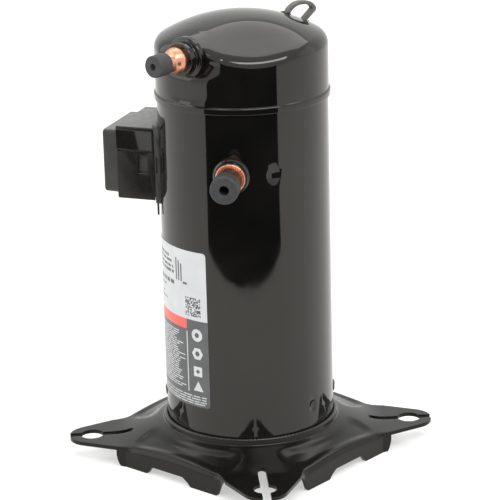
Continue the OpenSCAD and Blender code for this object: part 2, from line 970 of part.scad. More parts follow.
module guide_bolts() {
    head_z = wrap_z + 0.3 + 10 + 1.25;
    color([0.35, 0.35, 0.36]) for (k = [0:3]) rotate([0, 0, post_az0 + 90 * k])
        translate([post_at, 0, 0]) {
            cylinder_from(254, head_z + 1, 2.5);
            cylinder_from(head_z, head_z + 4.5, 4.6);
        }
}

module floating_seal() {
    floor_z = fixed_z + fixed_t;
    color([0.5, 0.51, 0.53]) rotate_extrude() polygon([
        [seal_ri, floor_z + 1.2],
        [seal_ro, floor_z + 1.2],
        [seal_ro, floor_z + 7],
        [27, floor_z + 7],
        [27, floor_z + 10],
        [20, floor_z + 10],
        [20, floor_z + 7],
        [seal_ri, floor_z + 7]
    ]);
}

module face_seals() {
    z0 = fixed_z + fixed_t + 7.1;
    color([0.15, 0.15, 0.16]) {
        tube_z(z0, z0 + 1.6, seal_ro - 0.2, 27.1);
        tube_z(z0, z0 + 1.6, 19.9, seal_ri + 0.2);
        tube_z(z0 + 3, z0 + 5.6, 25.5, 22);
    }
}

// ---------------------------------------------------------------- valves

valve_z = raised_z + 3;

module check_valve_seat() {
    color(steel) rotate_extrude() polygon([
        [5.5, raised_z - 1],
        [8.95, raised_z - 1],
        [8.95, valve_z + 0.05],
        [17, valve_z + 0.05],
        [17, valve_z + 2],
        [7, valve_z + 2],
        [5.5, valve_z + 1]
    ]);
}

module check_valve_disc() {
    color([0.75, 0.76, 0.78]) cylinder_from(valve_z + 2.05, valve_z + 3.05, 11);
}

module check_valve_retainer() {
    z0 = valve_z + 2.05;
    color(steel) difference() {
        cylinder_from(z0, z0 + 6.4, 14);
        cylinder_from(z0 - 1, z0 + 4.9, 11.5);
        cylinder_from(z0, z0 + 10, 4);
        for (k = [0:2]) rotate([0, 0, 120 * k]) translate([6, -6, z0 - 1]) cube([20, 12, 5]);
    }
}

relief_az = 150;
relief_at = 33;

module relief_place() {
    rotate([0, 0, relief_az]) translate([relief_at, 0, valve_z]) children();
}

module relief_valve_body() {
    color([0.75, 0.62, 0.3]) relief_place() difference() {
        union() {
            translate([0, 0, -4.5]) cylinder(h = 5, r = 4.95);
            translate([0, 0, 0.05]) cylinder(h = 10, r = 7.5, $fn = 6);
        }
        translate([0, 0, -3.3]) cylinder(h = 12, r = 3.9);
        translate([0, 0, -5]) cylinder(h = 30, r = 1.7);
    }
}

module relief_poppet() {
    color([0.7, 0.7, 0.72]) relief_place() {
        translate([0, 0, -3.25]) cylinder(h = 2, r = 3.6);
        translate([0, 0, -2]) cylinder(h = 7, r = 1.3);
    }
}

spring_z0 = -1.2;
spring_z1 = 8.5;
spring_turns = 5;
spring_r = 2.9;
wire_r = 0.4;
wire_sides = 8;
wire_rings = 60;

// A point on the spring wire's surface: ring i, side j.
function spring_point(i, j) =
    let (turn = 360 * spring_turns * i / wire_rings)
    let (rise = spring_z0 + wire_r + (spring_z1 - spring_z0 - 2 * wire_r) * i / wire_rings)
    let (r = spring_r + wire_r * cos(360 * j / wire_sides))
    [r * cos(turn), r * sin(turn), rise + wire_r * sin(360 * j / wire_sides)];

module relief_spring() {
    n = wire_sides;
    points = [for (i = [0:wire_rings], j = [0:n - 1]) spring_point(i, j)];
    walls = [
        for (i = [0:wire_rings - 1], j = [0:n - 1])
            [i * n + j, i * n + (j + 1) % n, (i + 1) * n + (j + 1) % n, (i + 1) * n + j]
    ];
    ends = [[for (j = [n - 1:-1:0]) j], [for (j = [0:n - 1]) wire_rings * n + j]];
    color(steel) relief_place() polyhedron(points, concat(walls, ends));
}

// ---------------------------------------------------------------- nodes

base_plate();
bottom_cap();
shell_tube();
top_cap();
partition_plate();
lifting_lug();
discharge_fitting();
discharge_tube();
discharge_plug();
suction_fitting();
suction_tube();
suction_plug();
suction_baffle();
terminal_fence();
terminal_cup();
terminal_glass();
terminal_pins();
terminal_box_base();
terminal_box_cover();
rating_label();
lower_bearing_bracket();
lower_bearing_bush();
thrust_washer();
sump_magnet();
stator_core();
slot_liners();
stator_windings();
motor_protector();
lead_wires();
lead_plug();
main_bearing_housing();
main_bearing_bush();
guide_sleeves();
guide_bolts();
check_valve_seat();
check_valve_retainer();
check_valve_disc();
relief_valve_body();
relief_poppet();
relief_spring();
crankshaft();
rotor_core();
rotor_cage();
upper_counterweight();
lower_counterweight();
oil_pickup();
drive_bushing();
orbiting_scroll();
hub_bush();
oldham_ring();
oldham_keys();
fixed_scroll();
floating_seal();
face_seals();
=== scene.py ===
"""Looks for a hermetic scroll compressor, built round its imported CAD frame. Lengths are in millimetres."""

import json
import math
import random

import bmesh
import bpy
import numpy as np
from mathutils import Matrix, Vector, kdtree
from mathutils.geometry import delaunay_2d_cdt


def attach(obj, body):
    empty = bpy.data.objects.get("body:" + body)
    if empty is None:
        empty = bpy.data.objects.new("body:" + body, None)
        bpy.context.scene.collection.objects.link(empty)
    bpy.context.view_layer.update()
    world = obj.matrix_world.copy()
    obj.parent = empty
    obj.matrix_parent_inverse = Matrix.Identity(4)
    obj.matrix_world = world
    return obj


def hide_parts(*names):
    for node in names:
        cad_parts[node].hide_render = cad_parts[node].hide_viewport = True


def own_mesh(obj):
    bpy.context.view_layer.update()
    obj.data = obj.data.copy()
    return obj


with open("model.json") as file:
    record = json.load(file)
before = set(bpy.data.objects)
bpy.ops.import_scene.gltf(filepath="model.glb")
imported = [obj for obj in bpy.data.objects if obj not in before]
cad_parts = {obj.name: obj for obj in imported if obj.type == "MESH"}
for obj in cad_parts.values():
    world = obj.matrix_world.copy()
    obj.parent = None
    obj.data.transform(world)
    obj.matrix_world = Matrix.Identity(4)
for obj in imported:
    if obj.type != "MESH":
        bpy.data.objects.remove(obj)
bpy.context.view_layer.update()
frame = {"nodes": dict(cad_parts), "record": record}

MM = 0.001
SHELL_R = 69.85
TERMINAL = (-159.5, 247.5)
SUCTION = (-57.6, 257.0)
DISCHARGE = (-90.0, 349.5)
S_BORE = 9.6
S_TIP = 97.5
S_RO = S_BORE + 0.95
# azimuth, height, radius and depth of the two small dents in the shell
DISHES = ((-29.8, 255.9, 7.0, 1.2), (-1.7, 52.5, 5.0, 1.0))
BUTTON_AZ, BUTTON_Z = (41, -139), 52.5


# ---------------------------------------------------------------- materials

def node_links(mat):
    return mat.node_tree.nodes, mat.node_tree.links


def ramp_between(nodes, links, source, low, high):
    ramp = nodes.new("ShaderNodeValToRGB")
    for stop, place_at, colour in zip(ramp.color_ramp.elements, (0.3, 0.7), (low, high)):
        stop.position = place_at
        stop.color = (*colour, 1)
    links.new(source, ramp.inputs["Fac"])
    return ramp.outputs["Color"]


def noise(nodes, links, coords, scale, detail, stretch=None):
    if stretch is not None:
        mapping = nodes.new("ShaderNodeMapping")
        mapping.inputs["Scale"].default_value = stretch
        links.new(coords, mapping.inputs["Vector"])
        coords = mapping.outputs["Vector"]
    tex = nodes.new("ShaderNodeTexNoise")
    tex.inputs["Scale"].default_value = scale
    tex.inputs["Detail"].default_value = detail
    links.new(coords, tex.inputs["Vector"])
    return tex.outputs["Fac"]


def remap(nodes, links, source, low, high, lo_in=0.3, hi_in=0.7):
    node = nodes.new("ShaderNodeMapRange")
    for end, value in (("From Min", lo_in), ("From Max", hi_in), ("To Min", low), ("To Max", high)):
        node.inputs[end].default_value = value
    links.new(source, node.inputs["Value"])
    return node.outputs["Result"]


def surface(name, low, high, rough, metallic=0.0, scale=60.0, stretch=None,
            bumps=(), spec=0.5, coat=0.0, coat_rough=0.05, tint=(1, 1, 1)):
    """A procedural material: colour between low and high, roughness between two values, layers of bump."""
    mat = bpy.data.materials.new(name)
    mat.use_nodes = True
    nodes, links = node_links(mat)
    shader = nodes["Principled BSDF"]
    coords = nodes.new("ShaderNodeTexCoord").outputs["Object"]
    mottle = noise(nodes, links, coords, scale, 5.0, stretch)
    links.new(ramp_between(nodes, links, mottle, low, high), shader.inputs["Base Color"])
    wear = noise(nodes, links, coords, scale * 2.3, 6.0, stretch)
    links.new(remap(nodes, links, wear, rough[0], rough[1]), shader.inputs["Roughness"])
    for socket, value in (("Metallic", metallic), ("Specular IOR Level", spec), ("Coat Weight", coat),
                          ("Coat Roughness", coat_rough), ("Specular Tint", (*tint, 1))):
        shader.inputs[socket].default_value = value
    normal = None
    for bump_scale, depth, *bump_stretch in bumps:
        height = noise(nodes, links, coords, bump_scale, 3.0, *bump_stretch)
        bump = nodes.new("ShaderNodeBump")
        bump.inputs["Strength"].default_value = 1.0
        bump.inputs["Distance"].default_value = depth * MM
        links.new(height, bump.inputs["Height"])
        if normal is not None:
            links.new(normal, bump.inputs["Normal"])
        normal = bump.outputs["Normal"]
    if normal is not None:
        links.new(normal, shader.inputs["Normal"])
    return mat


def grey(v, warm=0.0):
    return (v * (1 + warm), v, v * (1 - warm))


ALONG_Z = (1, 1, 0.02)
PAINT_TINT = (1.0, 0.965, 0.9)
MATS = {}


def look(name, *values, **options):
    MATS[name] = surface(name, *values, **options)


look("black_paint", grey(0.003), grey(0.0055, 0.06), (0.035, 0.085), scale=22,
     bumps=[(18, 0.05, (1, 1, 0.35)), (110, 0.005)], spec=0.52, tint=PAINT_TINT)
look("base_paint", grey(0.003), grey(0.0055, 0.06), (0.14, 0.22), scale=30, bumps=[(90, 0.01)], spec=0.26,
     tint=PAINT_TINT)
look("side_plastic", grey(0.006), grey(0.011, 0.06), (0.2, 0.3), scale=60, bumps=[(1300, 0.008)],
     spec=0.34, tint=(1.0, 0.93, 0.86))
look("lug_steel", (0.075, 0.072, 0.064), (0.12, 0.115, 0.104), (0.45, 0.6), scale=300, bumps=[(800, 0.03)])
look("gloss_plastic", grey(0.006), grey(0.012, 0.05), (0.05, 0.12), scale=90, spec=0.5)
look("plain_steel", grey(0.42), grey(0.56, 0.02), (0.24, 0.42), 1.0, scale=160, bumps=[(900, 0.006)])
look("copper", (0.62, 0.25, 0.14), (0.80, 0.40, 0.27), (0.2, 0.38), 1.0, scale=110, bumps=[(420, 0.012)])
look("black_rubber", grey(0.026), (0.036, 0.038, 0.041), (0.5, 0.7), scale=150, bumps=[(1500, 0.02)],
     spec=0.5)
look("bead_glass", (0.10, 0.2, 0.17), (0.16, 0.28, 0.24), (0.05, 0.12), scale=300)
look("pin_metal", (0.62, 0.52, 0.3), (0.75, 0.66, 0.42), (0.22, 0.36), 1.0, scale=300)
look("box_plastic", grey(0.017), grey(0.026, 0.03), (0.3, 0.46), scale=90, bumps=[(1300, 0.012)], spec=0.5)
look("label_film", grey(0.72), (0.80, 0.81, 0.82), (0.28, 0.36), scale=40)
look("bronze", (0.42, 0.29, 0.13), (0.6, 0.43, 0.22), (0.25, 0.4), 1.0, scale=500)
look("magnet_iron", grey(0.05), grey(0.11), (0.5, 0.7), 0.4, scale=300, bumps=[(900, 0.03)])
look("insulation_film", (0.66, 0.6, 0.42), (0.8, 0.75, 0.58), (0.4, 0.55), scale=200)
look("lead_sleeve", (0.36, 0.06, 0.04), (0.5, 0.1, 0.07), (0.45, 0.6), scale=300,
     bumps=[(900, 0.02, ALONG_Z)])
look("moulded_nylon", (0.6, 0.57, 0.48), (0.72, 0.69, 0.6), (0.35, 0.5), scale=120, bumps=[(800, 0.01)])
look("cast_iron", grey(0.10, 0.02), grey(0.19, 0.01), (0.38, 0.6), 0.85, scale=240,
     bumps=[(350, 0.06), (1400, 0.02)])
look("dark_bolt", grey(0.03), grey(0.06), (0.3, 0.45), 0.6, scale=400)
look("brass", (0.56, 0.41, 0.17), (0.72, 0.56, 0.28), (0.22, 0.38), 1.0, scale=250, bumps=[(800, 0.01)])
look("ground_steel", grey(0.5), grey(0.64, 0.01), (0.16, 0.3), 1.0, scale=90, stretch=(1, 1, 12),
     bumps=[(300, 0.004, (1, 1, 30))])
look("cage_aluminium", grey(0.55), grey(0.7), (0.35, 0.5), 1.0, scale=200, bumps=[(600, 0.03)])
look("seal_polymer", grey(0.025), grey(0.045), (0.35, 0.5), scale=300)


def laminated(name):
    """Stacked sheets: fine horizontal bands in height over a mottled colour."""
    mat = surface(name, grey(0.12), grey(0.2, 0.02), (0.35, 0.55), 0.9, scale=200)
    nodes, links = node_links(mat)
    wave = nodes.new("ShaderNodeTexWave")
    wave.wave_type = "BANDS"
    wave.bands_direction = "Z"
    wave.inputs["Scale"].default_value = 300.0
    wave.inputs["Distortion"].default_value = 0.3
    links.new(nodes["Texture Coordinate"].outputs["Object"], wave.inputs["Vector"])
    bump = nodes.new("ShaderNodeBump")
    bump.inputs["Distance"].default_value = 0.08 * MM
    links.new(wave.outputs["Fac"], bump.inputs["Height"])
    links.new(bump.outputs["Normal"], nodes["Principled BSDF"].inputs["Normal"])
    return mat


MATS["lamination_steel"] = laminated("lamination_steel")
look("enamel_wire", (0.26, 0.07, 0.02), (0.55, 0.2, 0.07), (0.2, 0.35), 0.7, scale=150,
     bumps=[(500, 0.25, (1, 1, 6))], coat=0.6, coat_rough=0.15)


def paint_top_light(mat, colour, amount):
    """Painted highlight: a pale colour mixed into the upward faces of a material, standing in for light
    falling from above.
    """
    nodes, links = node_links(mat)
    shader = nodes["Principled BSDF"]
    base = shader.inputs["Base Color"].links[0].from_socket
    normal = nodes.new("ShaderNodeNewGeometry").outputs["Normal"]
    split = nodes.new("ShaderNodeSeparateXYZ")
    links.new(normal, split.inputs["Vector"])
    upward = remap(nodes, links, split.outputs["Z"], 0.0, amount, 0.75, 0.98)
    mix = nodes.new("ShaderNodeMixRGB")
    mix.inputs["Color2"].default_value = (*colour, 1)
    links.new(upward, mix.inputs["Fac"])
    links.new(base, mix.inputs["Color1"])
    links.new(mix.outputs["Color"], shader.inputs["Base Color"])


# painted highlight: the box plastic's upward faces are made paler, as if lit from above
paint_top_light(MATS["box_plastic"], (0.2, 0.2, 0.195), 0.6)

for row in frame["record"]["subparts"]:
    part = frame["nodes"][row["node"]]
    part.data.materials.clear()
    part.data.materials.append(MATS[row["material_slot"]])


# ---------------------------------------------------------------- mesh tools

def place(az, z=0.0):
    """Local X points outward at the azimuth, at height z."""
    return Matrix.Translation((0, 0, z * MM)) @ Matrix.Rotation(math.radians(az), 4, "Z")


def linked(name, data):
    obj = bpy.data.objects.new(name, data)
    bpy.context.scene.collection.objects.link(obj)
    return obj


def clean(mesh, near):
    """Merges repeated points and turns all faces outward."""
    bm = bmesh.new()
    bm.from_mesh(mesh)
    bmesh.ops.remove_doubles(bm, verts=bm.verts, dist=near)
    bmesh.ops.recalc_face_normals(bm, faces=bm.faces)
    bm.to_mesh(mesh)
    bm.free()


AT_TERMINAL, AT_SUCTION, AT_DISCHARGE = place(*TERMINAL), place(*SUCTION), place(*DISCHARGE)


def piece(name, verts, faces, body, slot, nodes=(), where=None, sharp=32.0, tidy=True, mats=None,
          face_mats=None):
    """A finished piece from millimetre coordinates: smooth shaded, closed, riding on its body."""
    mesh = bpy.data.meshes.new(name)
    mesh.from_pydata((np.asarray(verts, float) * MM).tolist(), [], faces)
    if face_mats is not None:
        mesh.polygons.foreach_set("material_index", face_mats)
    if tidy:
        clean(mesh, 2e-6)
    if where is not None:
        mesh.transform(where)
    smooth(mesh, sharp)
    obj = linked(name, mesh)
    for m in mats or [MATS[slot]]:
        mesh.materials.append(m)
    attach(obj, body)
    if nodes:
        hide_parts(*nodes)
    return obj


def rounded(points, radii, steps=6):
    """A polyline with its corners turned into arcs. Ends keep their points."""
    out = []
    n = len(points)
    for i, p in enumerate(points):
        p = Vector(p)
        r = radii[i] if i < len(radii) else 0
        if r <= 0 or i in (0, n - 1):
            out.append(tuple(p))
            continue
        a = (Vector(points[i - 1]) - p)
        b = (Vector(points[i + 1]) - p)
        la, lb = a.length, b.length
        a.normalize(), b.normalize()
        half = math.acos(max(-1, min(1, a.dot(b)))) / 2
        cut = min(r / math.tan(half), 0.49 * la, 0.49 * lb) if half < math.pi / 2 - 1e-4 else 0
        if cut < 1e-6:
            out.append(tuple(p))
            continue
        r = cut * math.tan(half)
        centre = p + (a + b).normalized() * (r / math.sin(half))
        s, e = p + a * cut - centre, p + b * cut - centre
        turn = math.atan2(s.x * e.y - s.y * e.x, s.dot(e))
        for k in range(steps + 1):
            t = turn * k / steps
            out.append((centre.x + s.x * math.cos(t) - s.y * math.sin(t),
                        centre.y + s.x * math.sin(t) + s.y * math.cos(t)))
    return out


def closed_round(points, radii, steps=6):
    """The same for a closed outline."""
    wrapped = [points[-1]] + list(points) + [points[0]]
    rr = [0] + list(radii) + [0]
    return rounded(wrapped, rr, steps)[1:-1]


def lathe_faces(rows, cols, closed=False):
    """Four-sided faces between rows of cols points, each row closed on itself."""
    faces = []
    for i in range(rows if closed else rows - 1):
        a, b = i * cols, ((i + 1) % rows) * cols
        for j in range(cols):
            k = (j + 1) % cols
            faces.append((a + j, a + k, b + k, b + j))
    return faces


def lathe_z(profile, cols=160):
    """A closed (radius, height) outline turned about Z."""
    prof = np.array(profile, float)
    th = np.linspace(0, 2 * math.pi, cols, endpoint=False)
    r = np.repeat(prof[:, :1], cols, 1)
    z = np.repeat(prof[:, 1:], cols, 1)
    v = np.stack([r * np.cos(th), r * np.sin(th), z], -1).reshape(-1, 3)
    return v, lathe_faces(len(prof), cols, True)


def lathe_x(profile, cols=96):
    """A closed (radius, distance) outline turned about local X."""
    v, f = lathe_z(profile, cols)
    return v[:, [2, 0, 1]], f


def capped(verts, n):
    """Faces of a tube of n-point rings, closed at both ends."""
    total = len(verts)
    return lathe_faces(total // n, n) + [tuple(range(n)), tuple(range(total - n, total))]


def thicken(verts, faces, depth):
    """A closed solid from an open surface: a copy moved inward by depth, and walls at the edges."""
    mesh = bpy.data.meshes.new("tmp")
    mesh.from_pydata(verts.tolist(), [], faces)
    bm = bmesh.new()
    bm.from_mesh(mesh)
    bmesh.ops.remove_doubles(bm, verts=bm.verts, dist=2e-3)
    bmesh.ops.recalc_face_normals(bm, faces=bm.faces)
    up = sum(f.normal.dot(Vector((f.calc_center_median().x, f.calc_center_median().y, 60)).normalized())
             * f.calc_area() for f in bm.faces)
    if up < 0:
        bmesh.ops.reverse_faces(bm, faces=bm.faces)
    bm.normal_update()
    bm.verts.ensure_lookup_table()
    top = np.array([v.co for v in bm.verts])
    nrm = np.array([v.normal for v in bm.verts])
    n = len(top)
    fs = [[v.index for v in f.verts] for f in bm.faces]
    rim = [(e.verts[0].index, e.verts[1].index, e.link_faces[0]) for e in bm.edges if len(e.link_faces) == 1]
    walls = []
    for a, b, face in rim:
        ring = [v.index for v in face.verts]
        if ring[(ring.index(a) + 1) % len(ring)] != b:
            a, b = b, a
        walls.append([b, a, a + n, b + n])
    bm.free()
    bpy.data.meshes.remove(mesh)
    low = top - nrm * (depth(top) if callable(depth) else depth)
    return np.vstack([top, low]), fs + [[i + n for i in reversed(f)] for f in fs] + walls


def soften(obj, width, angle=50.0, segments=2):
    """Small rounded edges wherever faces meet more sharply than the angle."""
    bm = bmesh.new()
    bm.from_mesh(obj.data)
    limit = math.radians(angle)
    edges = [e for e in bm.edges if len(e.link_faces) == 2 and e.calc_face_angle(0) > limit]
    bmesh.ops.bevel(bm, geom=edges, offset=width * MM, segments=segments, profile=0.5, affect="EDGES",
                    clamp_overlap=True)
    bm.to_mesh(obj.data)
    bm.free()
    smooth(obj.data, 34)
    return obj


def inside(points, loop):
    """Which points lie inside a closed loop, by crossings."""
    x, y = points[:, 0], points[:, 1]
    hit = np.zeros(len(points), bool)
    a = np.asarray(loop)
    b = np.roll(a, -1, 0)
    for (x0, y0), (x1, y1) in zip(a, b):
        if y0 == y1:
            continue
        cross = ((y0 > y) != (y1 > y)) & (x < (x1 - x0) * (y - y0) / (y1 - y0) + x0)
        hit ^= cross
    return hit


def triangulate(outer, holes, points, keep_off=0.0, marks=()):
    """Triangles of the region inside outer and outside holes, through points and along marks."""
    loops = [np.asarray(l, float) for l in [outer, *holes, *marks]]
    border = np.vstack(loops)
    if len(points):
        ok = inside(points, loops[0])
        for hole in loops[1:1 + len(holes)]:
            ok &= ~inside(points, hole)
        points = points[ok]
        tree = kdtree.KDTree(len(border))
        for i, p in enumerate(border):
            tree.insert((p[0], p[1], 0), i)
        tree.balance()
        points = np.array([p for p in points if tree.find((p[0], p[1], 0))[2] > keep_off]).reshape(-1, 2)
    edges, start = [], 0
    for loop in loops:
        n = len(loop)
        edges += [(start + i, start + (i + 1) % n) for i in range(n)]
        start += n
    every = np.vstack([border, points]) if len(points) else border
    res = delaunay_2d_cdt([Vector(p) for p in every], edges, [], 0, 1e-6)
    verts = np.array([tuple(v) for v in res[0]])
    tris = np.array([t for t in res[2] if len(t) == 3])
    mid = verts[tris].mean(1)
    ok = inside(mid, loops[0])
    for hole in loops[1:1 + len(holes)]:
        ok &= ~inside(mid, hole)
    return verts, tris[ok]


def smooth(mesh, sharp):
    mesh.polygons.foreach_set("use_smooth", [True] * len(mesh.polygons))
    mesh.set_sharp_from_angle(angle=math.radians(sharp))
    mesh.update()


def cut(obj, tools):
    """Takes the tool solids away from a piece and drops them."""
    for t in tools:
        mod = obj.modifiers.new("cut", "BOOLEAN")
        mod.object = t
        mod.operation = "DIFFERENCE"
        mod.solver = "EXACT"
    bpy.context.view_layer.update()
    grab = obj.evaluated_get(bpy.context.evaluated_depsgraph_get())
    mesh = bpy.data.meshes.new_from_object(grab)
    obj.modifiers.clear()
    old = obj.data
    obj.data = mesh
    bpy.data.meshes.remove(old)
    for t in tools:
        data = t.data
        bpy.data.objects.remove(t)
        bpy.data.meshes.remove(data)
    smooth(obj.data, 32)
    return obj


def tool(verts, faces, where=None):
    """A solid for cutting with."""
    mesh = bpy.data.meshes.new("tool")
    mesh.from_pydata((np.asarray(verts, float) * MM).tolist(), [], faces)
    clean(mesh, 1e-7)
    if where is not None:
        mesh.transform(where)
    return linked("tool", mesh)


def prism(outline, x0, x1):
    """A solid between two planes of local X, with a (y, z) outline."""
    n = len(outline)
    v = [(x0, *p) for p in outline] + [(x1, *p) for p in outline]
    f = [tuple(range(n)), tuple(range(2 * n - 1, n - 1, -1))]
    f += [(i, i + n, (i + 1) % n + n, (i + 1) % n) for i in range(n)]
    return v, f


def rect(y0, y1, z0, z1, r=0.0, steps=6):
    return closed_round([(y0, z0), (y1, z0), (y1, z1), (y0, z1)], [r] * 4, steps)


def circle(r, cols, x=0.0):
    turn = np.linspace(0, 2 * math.pi, cols, endpoint=False)
    return [(x + r * math.cos(a), r * math.sin(a)) for a in turn]


def upright(outline, z0, z1):
    """A solid between two heights, with an (x, y) outline."""
    v, f = prism(outline, z0, z1)
    return [(x, y, z) for z, x, y in v], f


def bar_tool(x0, x1, r, where):
    return tool(*prism(circle(r, 96), x0, x1), where)


def round_tool(r, z0, z1):
    """An upright cylinder on the shaft axis, for cutting pieces to the shell's round side."""
    return tool(*upright(circle(r, 288), z0, z1))


def ball_tool(r, x, where, cols=160, rows=81):
    """A ball centred at local X = x."""
    verts = []
    for i in range(1, rows):
        a = math.pi * i / rows
        verts += [(x - r * math.cos(a), y, z) for y, z in circle(r * math.sin(a), cols)]
    return tool(verts, capped(verts, cols), where)


def join(parts):
    verts, faces = [], []
    for pv, pf in parts:
        faces += [tuple(i + len(verts) for i in face) for face in pf]
        verts += [tuple(p) for p in pv]
    return verts, faces


# ---------------------------------------------------------------- base plate

HALF = 100.5
EAR_AT = 95.25
EAR_R = 19.0
ROOT = 52.0
BEND_END = 60.0
BEND_R = 5.0
SHEET = 3.0
COLLAR_IN = 77.0
COLLAR_COLS = 240
LEAF_IN, LEAF_OUT, LEAF_HALF, LEAF_DEPTH = 79.0, 96.5, 53.0, 1.7
SLOT_HALF, SLOT_END, HOLE_R = 3.4, 103.2, 9.5

ear_dx, ear_dy = EAR_AT - ROOT, EAR_AT - HALF
ear_turn = math.atan2(ear_dy, ear_dx) + math.asin(EAR_R / math.hypot(ear_dx, ear_dy))
ear_len = math.sqrt(ear_dx ** 2 + ear_dy ** 2 - EAR_R ** 2)
ear_tangent = (ROOT + ear_len * math.cos(ear_turn), HALF + ear_len * math.sin(ear_turn))


def smoothstep(t):
    t = np.clip(t, 0, 1)
    return t * t * (3 - 2 * t)


def soft_min(a, b, k):
    h = np.clip(0.5 + 0.5 * (b - a) / k, 0, 1)
    return b + (a - b) * h - k * h * (1 - h)


def soft_max(a, b, k):
    return -soft_min(-a, -b, k)


def table(points, sigma, step=0.25):
    """A smoothed curve through (distance, height) points."""
    p = np.array(points, float)
    x = np.arange(p[0, 0] - 12, p[-1, 0] + 12, step)
    slope0 = (p[1, 1] - p[0, 1]) / (p[1, 0] - p[0, 0])
    y = np.where(x < p[0, 0], p[0, 1] + slope0 * (x - p[0, 0]), np.interp(x, p[:, 0], p[:, 1]))
    k = np.exp(-0.5 * (np.arange(-4 * sigma, 4 * sigma + step / 2, step) / sigma) ** 2)
    k /= k.sum()
    pad = len(k) // 2
    y = np.convolve(np.pad(y, pad, mode="edge"), k, "valid")[: len(x)]
    return x, y


RAD, RISE = table([(75.4, 28.1), (88, 23.8), (100, 19.6), (108, 17.6), (114, 17), (170, 17)], 2.5)


def sheet_height(x, y):
    r = np.hypot(x, y)
    z = np.interp(r, RAD, RISE)
    for u, v in ((x, y), (y, x)):
        d = soft_min(soft_min(r - LEAF_IN, LEAF_OUT - np.abs(v), 9.0), LEAF_HALF - np.abs(u), 14.0)
        z = z - LEAF_DEPTH * smoothstep(d / 7.5)
    return z


def ear_line(t):
    return HALF + (np.abs(t) - ROOT) * math.tan(ear_turn)


def bend_start(t):
    """Distance from the axis, square to a side, at which the sheet starts to turn down."""
    blend = smoothstep((np.abs(t) - 44) / (BEND_END - 44))
    return (HALF - BEND_R) * (1 - blend) + (ear_line(t) - 0.7) * blend


def skirt_line(t):
    return np.where(np.abs(t) > ROOT, ear_line(t), HALF)


side_t = np.linspace(-BEND_END, BEND_END, 121)


def arc(cx, cy, r, a0, a1, step=1.1):
    n = max(2, int(abs(math.radians(a1 - a0)) * r / step) + 1)
    return [(cx + r * math.cos(math.radians(a)), cy + r * math.sin(math.radians(a)))
            for a in np.linspace(a0, a1, n)]


def line(a, b, step=1.2, ends=(True, True)):
    n = max(1, int(math.dist(a, b) / step))
    pts = [(a[0] + (b[0] - a[0]) * i / n, a[1] + (b[1] - a[1]) * i / n) for i in range(n + 1)]
    return pts[0 if ends[0] else 1: None if ends[1] else -1]


def quarter_outline():
    """One side and the ear after it, counter-clockwise: the -Y side, then the +X -Y ear."""
    pts = [(t, -float(bend_start(t))) for t in side_t]
    start = (BEND_END, -float(ear_line(BEND_END)))
    tan_a = (ear_tangent[0], -ear_tangent[1])
    pts += line(start, tan_a)
    # in the ear's own frame u runs outward along the diagonal
    c = EAR_AT * math.sqrt(2)
    rot = math.radians(-45)

    def diag(p):
        return (p[0] * math.cos(rot) - p[1] * math.sin(rot), p[0] * math.sin(rot) + p[1] * math.cos(rot))

    du = tan_a[0] * math.cos(-rot) - tan_a[1] * math.sin(-rot) - c
    dv = tan_a[0] * math.sin(-rot) + tan_a[1] * math.cos(-rot)
    a_tan = math.degrees(math.atan2(dv, du))
    a_tip = math.degrees(math.asin(SLOT_HALF / EAR_R))
    a_hole = math.degrees(math.asin(SLOT_HALF / HOLE_R))
    ear = arc(c, 0, EAR_R, a_tan, -a_tip)[1:]
    ear = ear[:-1] + rounded([ear[-2], ear[-1], (c + 12, -SLOT_HALF)], [0, 1.6, 0], 3)[1:-1]
    reach = HOLE_R * math.cos(math.radians(a_hole))
    ear += line((c + 15, -SLOT_HALF), (c + reach, -SLOT_HALF), ends=(True, False))
    ear += arc(c, 0, HOLE_R, -a_hole, -180 + a_hole)
    ear += line((c - reach, -SLOT_HALF), (SLOT_END, -SLOT_HALF), ends=(False, False))
    ear += arc(SLOT_END, 0, SLOT_HALF, -90, -180)
    other = [(p[0], -p[1]) for p in reversed(ear[:-1])]
    pts += [diag(p) for p in ear + other]
    pts += line((ear_tangent[1], -ear_tangent[0]), (float(ear_line(BEND_END)), -BEND_END))
    return pts


def turned(points, k):
    p = np.asarray(points)
    for _ in range(k):
        p = np.stack([-p[:, 1], p[:, 0]], 1)
    return p


def without_repeats(loop, tol=1e-4):
    out = [loop[0]]
    for p in loop[1:]:
        if math.dist(p, out[-1]) > tol:
            out.append(p)
    if math.dist(out[0], out[-1]) <= tol:
        out.pop()
    return out


# (distance along the side, height) of the skirt's lower edge: a foot, a raised middle, a foot and a notch
SKIRT_LOW = [(-60.6, 15), (-59.6, 6), (-57, 0), (-28, 0), (-23, 6.8), (11, 6.8), (17.5, 2.5), (19, 0),
             (48.5, 0), (50.5, 6), (52.5, 11.5), (55, 14.2), (58, 15.0), (60.5, 15.4)]


def skirt_low(t):
    x, y = table([(-80, 15), *SKIRT_LOW, (80, 15.4)], 0.8)
    return np.interp(t, x, y)


def skirt_strip():
    """Rows of points from the bend line down to the lower edge of the -Y side."""
    start = bend_start(side_t)
    z0 = sheet_height(side_t, -start)
    slope = (z0 - sheet_height(side_t, -start - 0.2)) / 0.2
    phi0 = np.arctan(np.clip(slope, 0, 2))
    radius = (skirt_line(side_t) - start) / (1 - np.sin(phi0))
    arc_len = radius * (math.pi / 2 - phi0)
    drop = radius * np.cos(phi0)
    low = np.minimum(skirt_low(side_t), z0 - drop - 0.8)
    total = arc_len + (z0 - drop - low)
    rows = []
    for i in range(27):
        s = total * i / 26
        on_arc = s < arc_len
        phi = np.where(on_arc, phi0 + s / radius, math.pi / 2)
        y = start + radius * (np.sin(phi) - np.sin(phi0))
        z = z0 - radius * (np.cos(phi0) - np.cos(phi)) - np.where(on_arc, 0, s - arc_len)
        rows.append(np.stack([side_t, -y, z], 1))
    return np.array(rows)


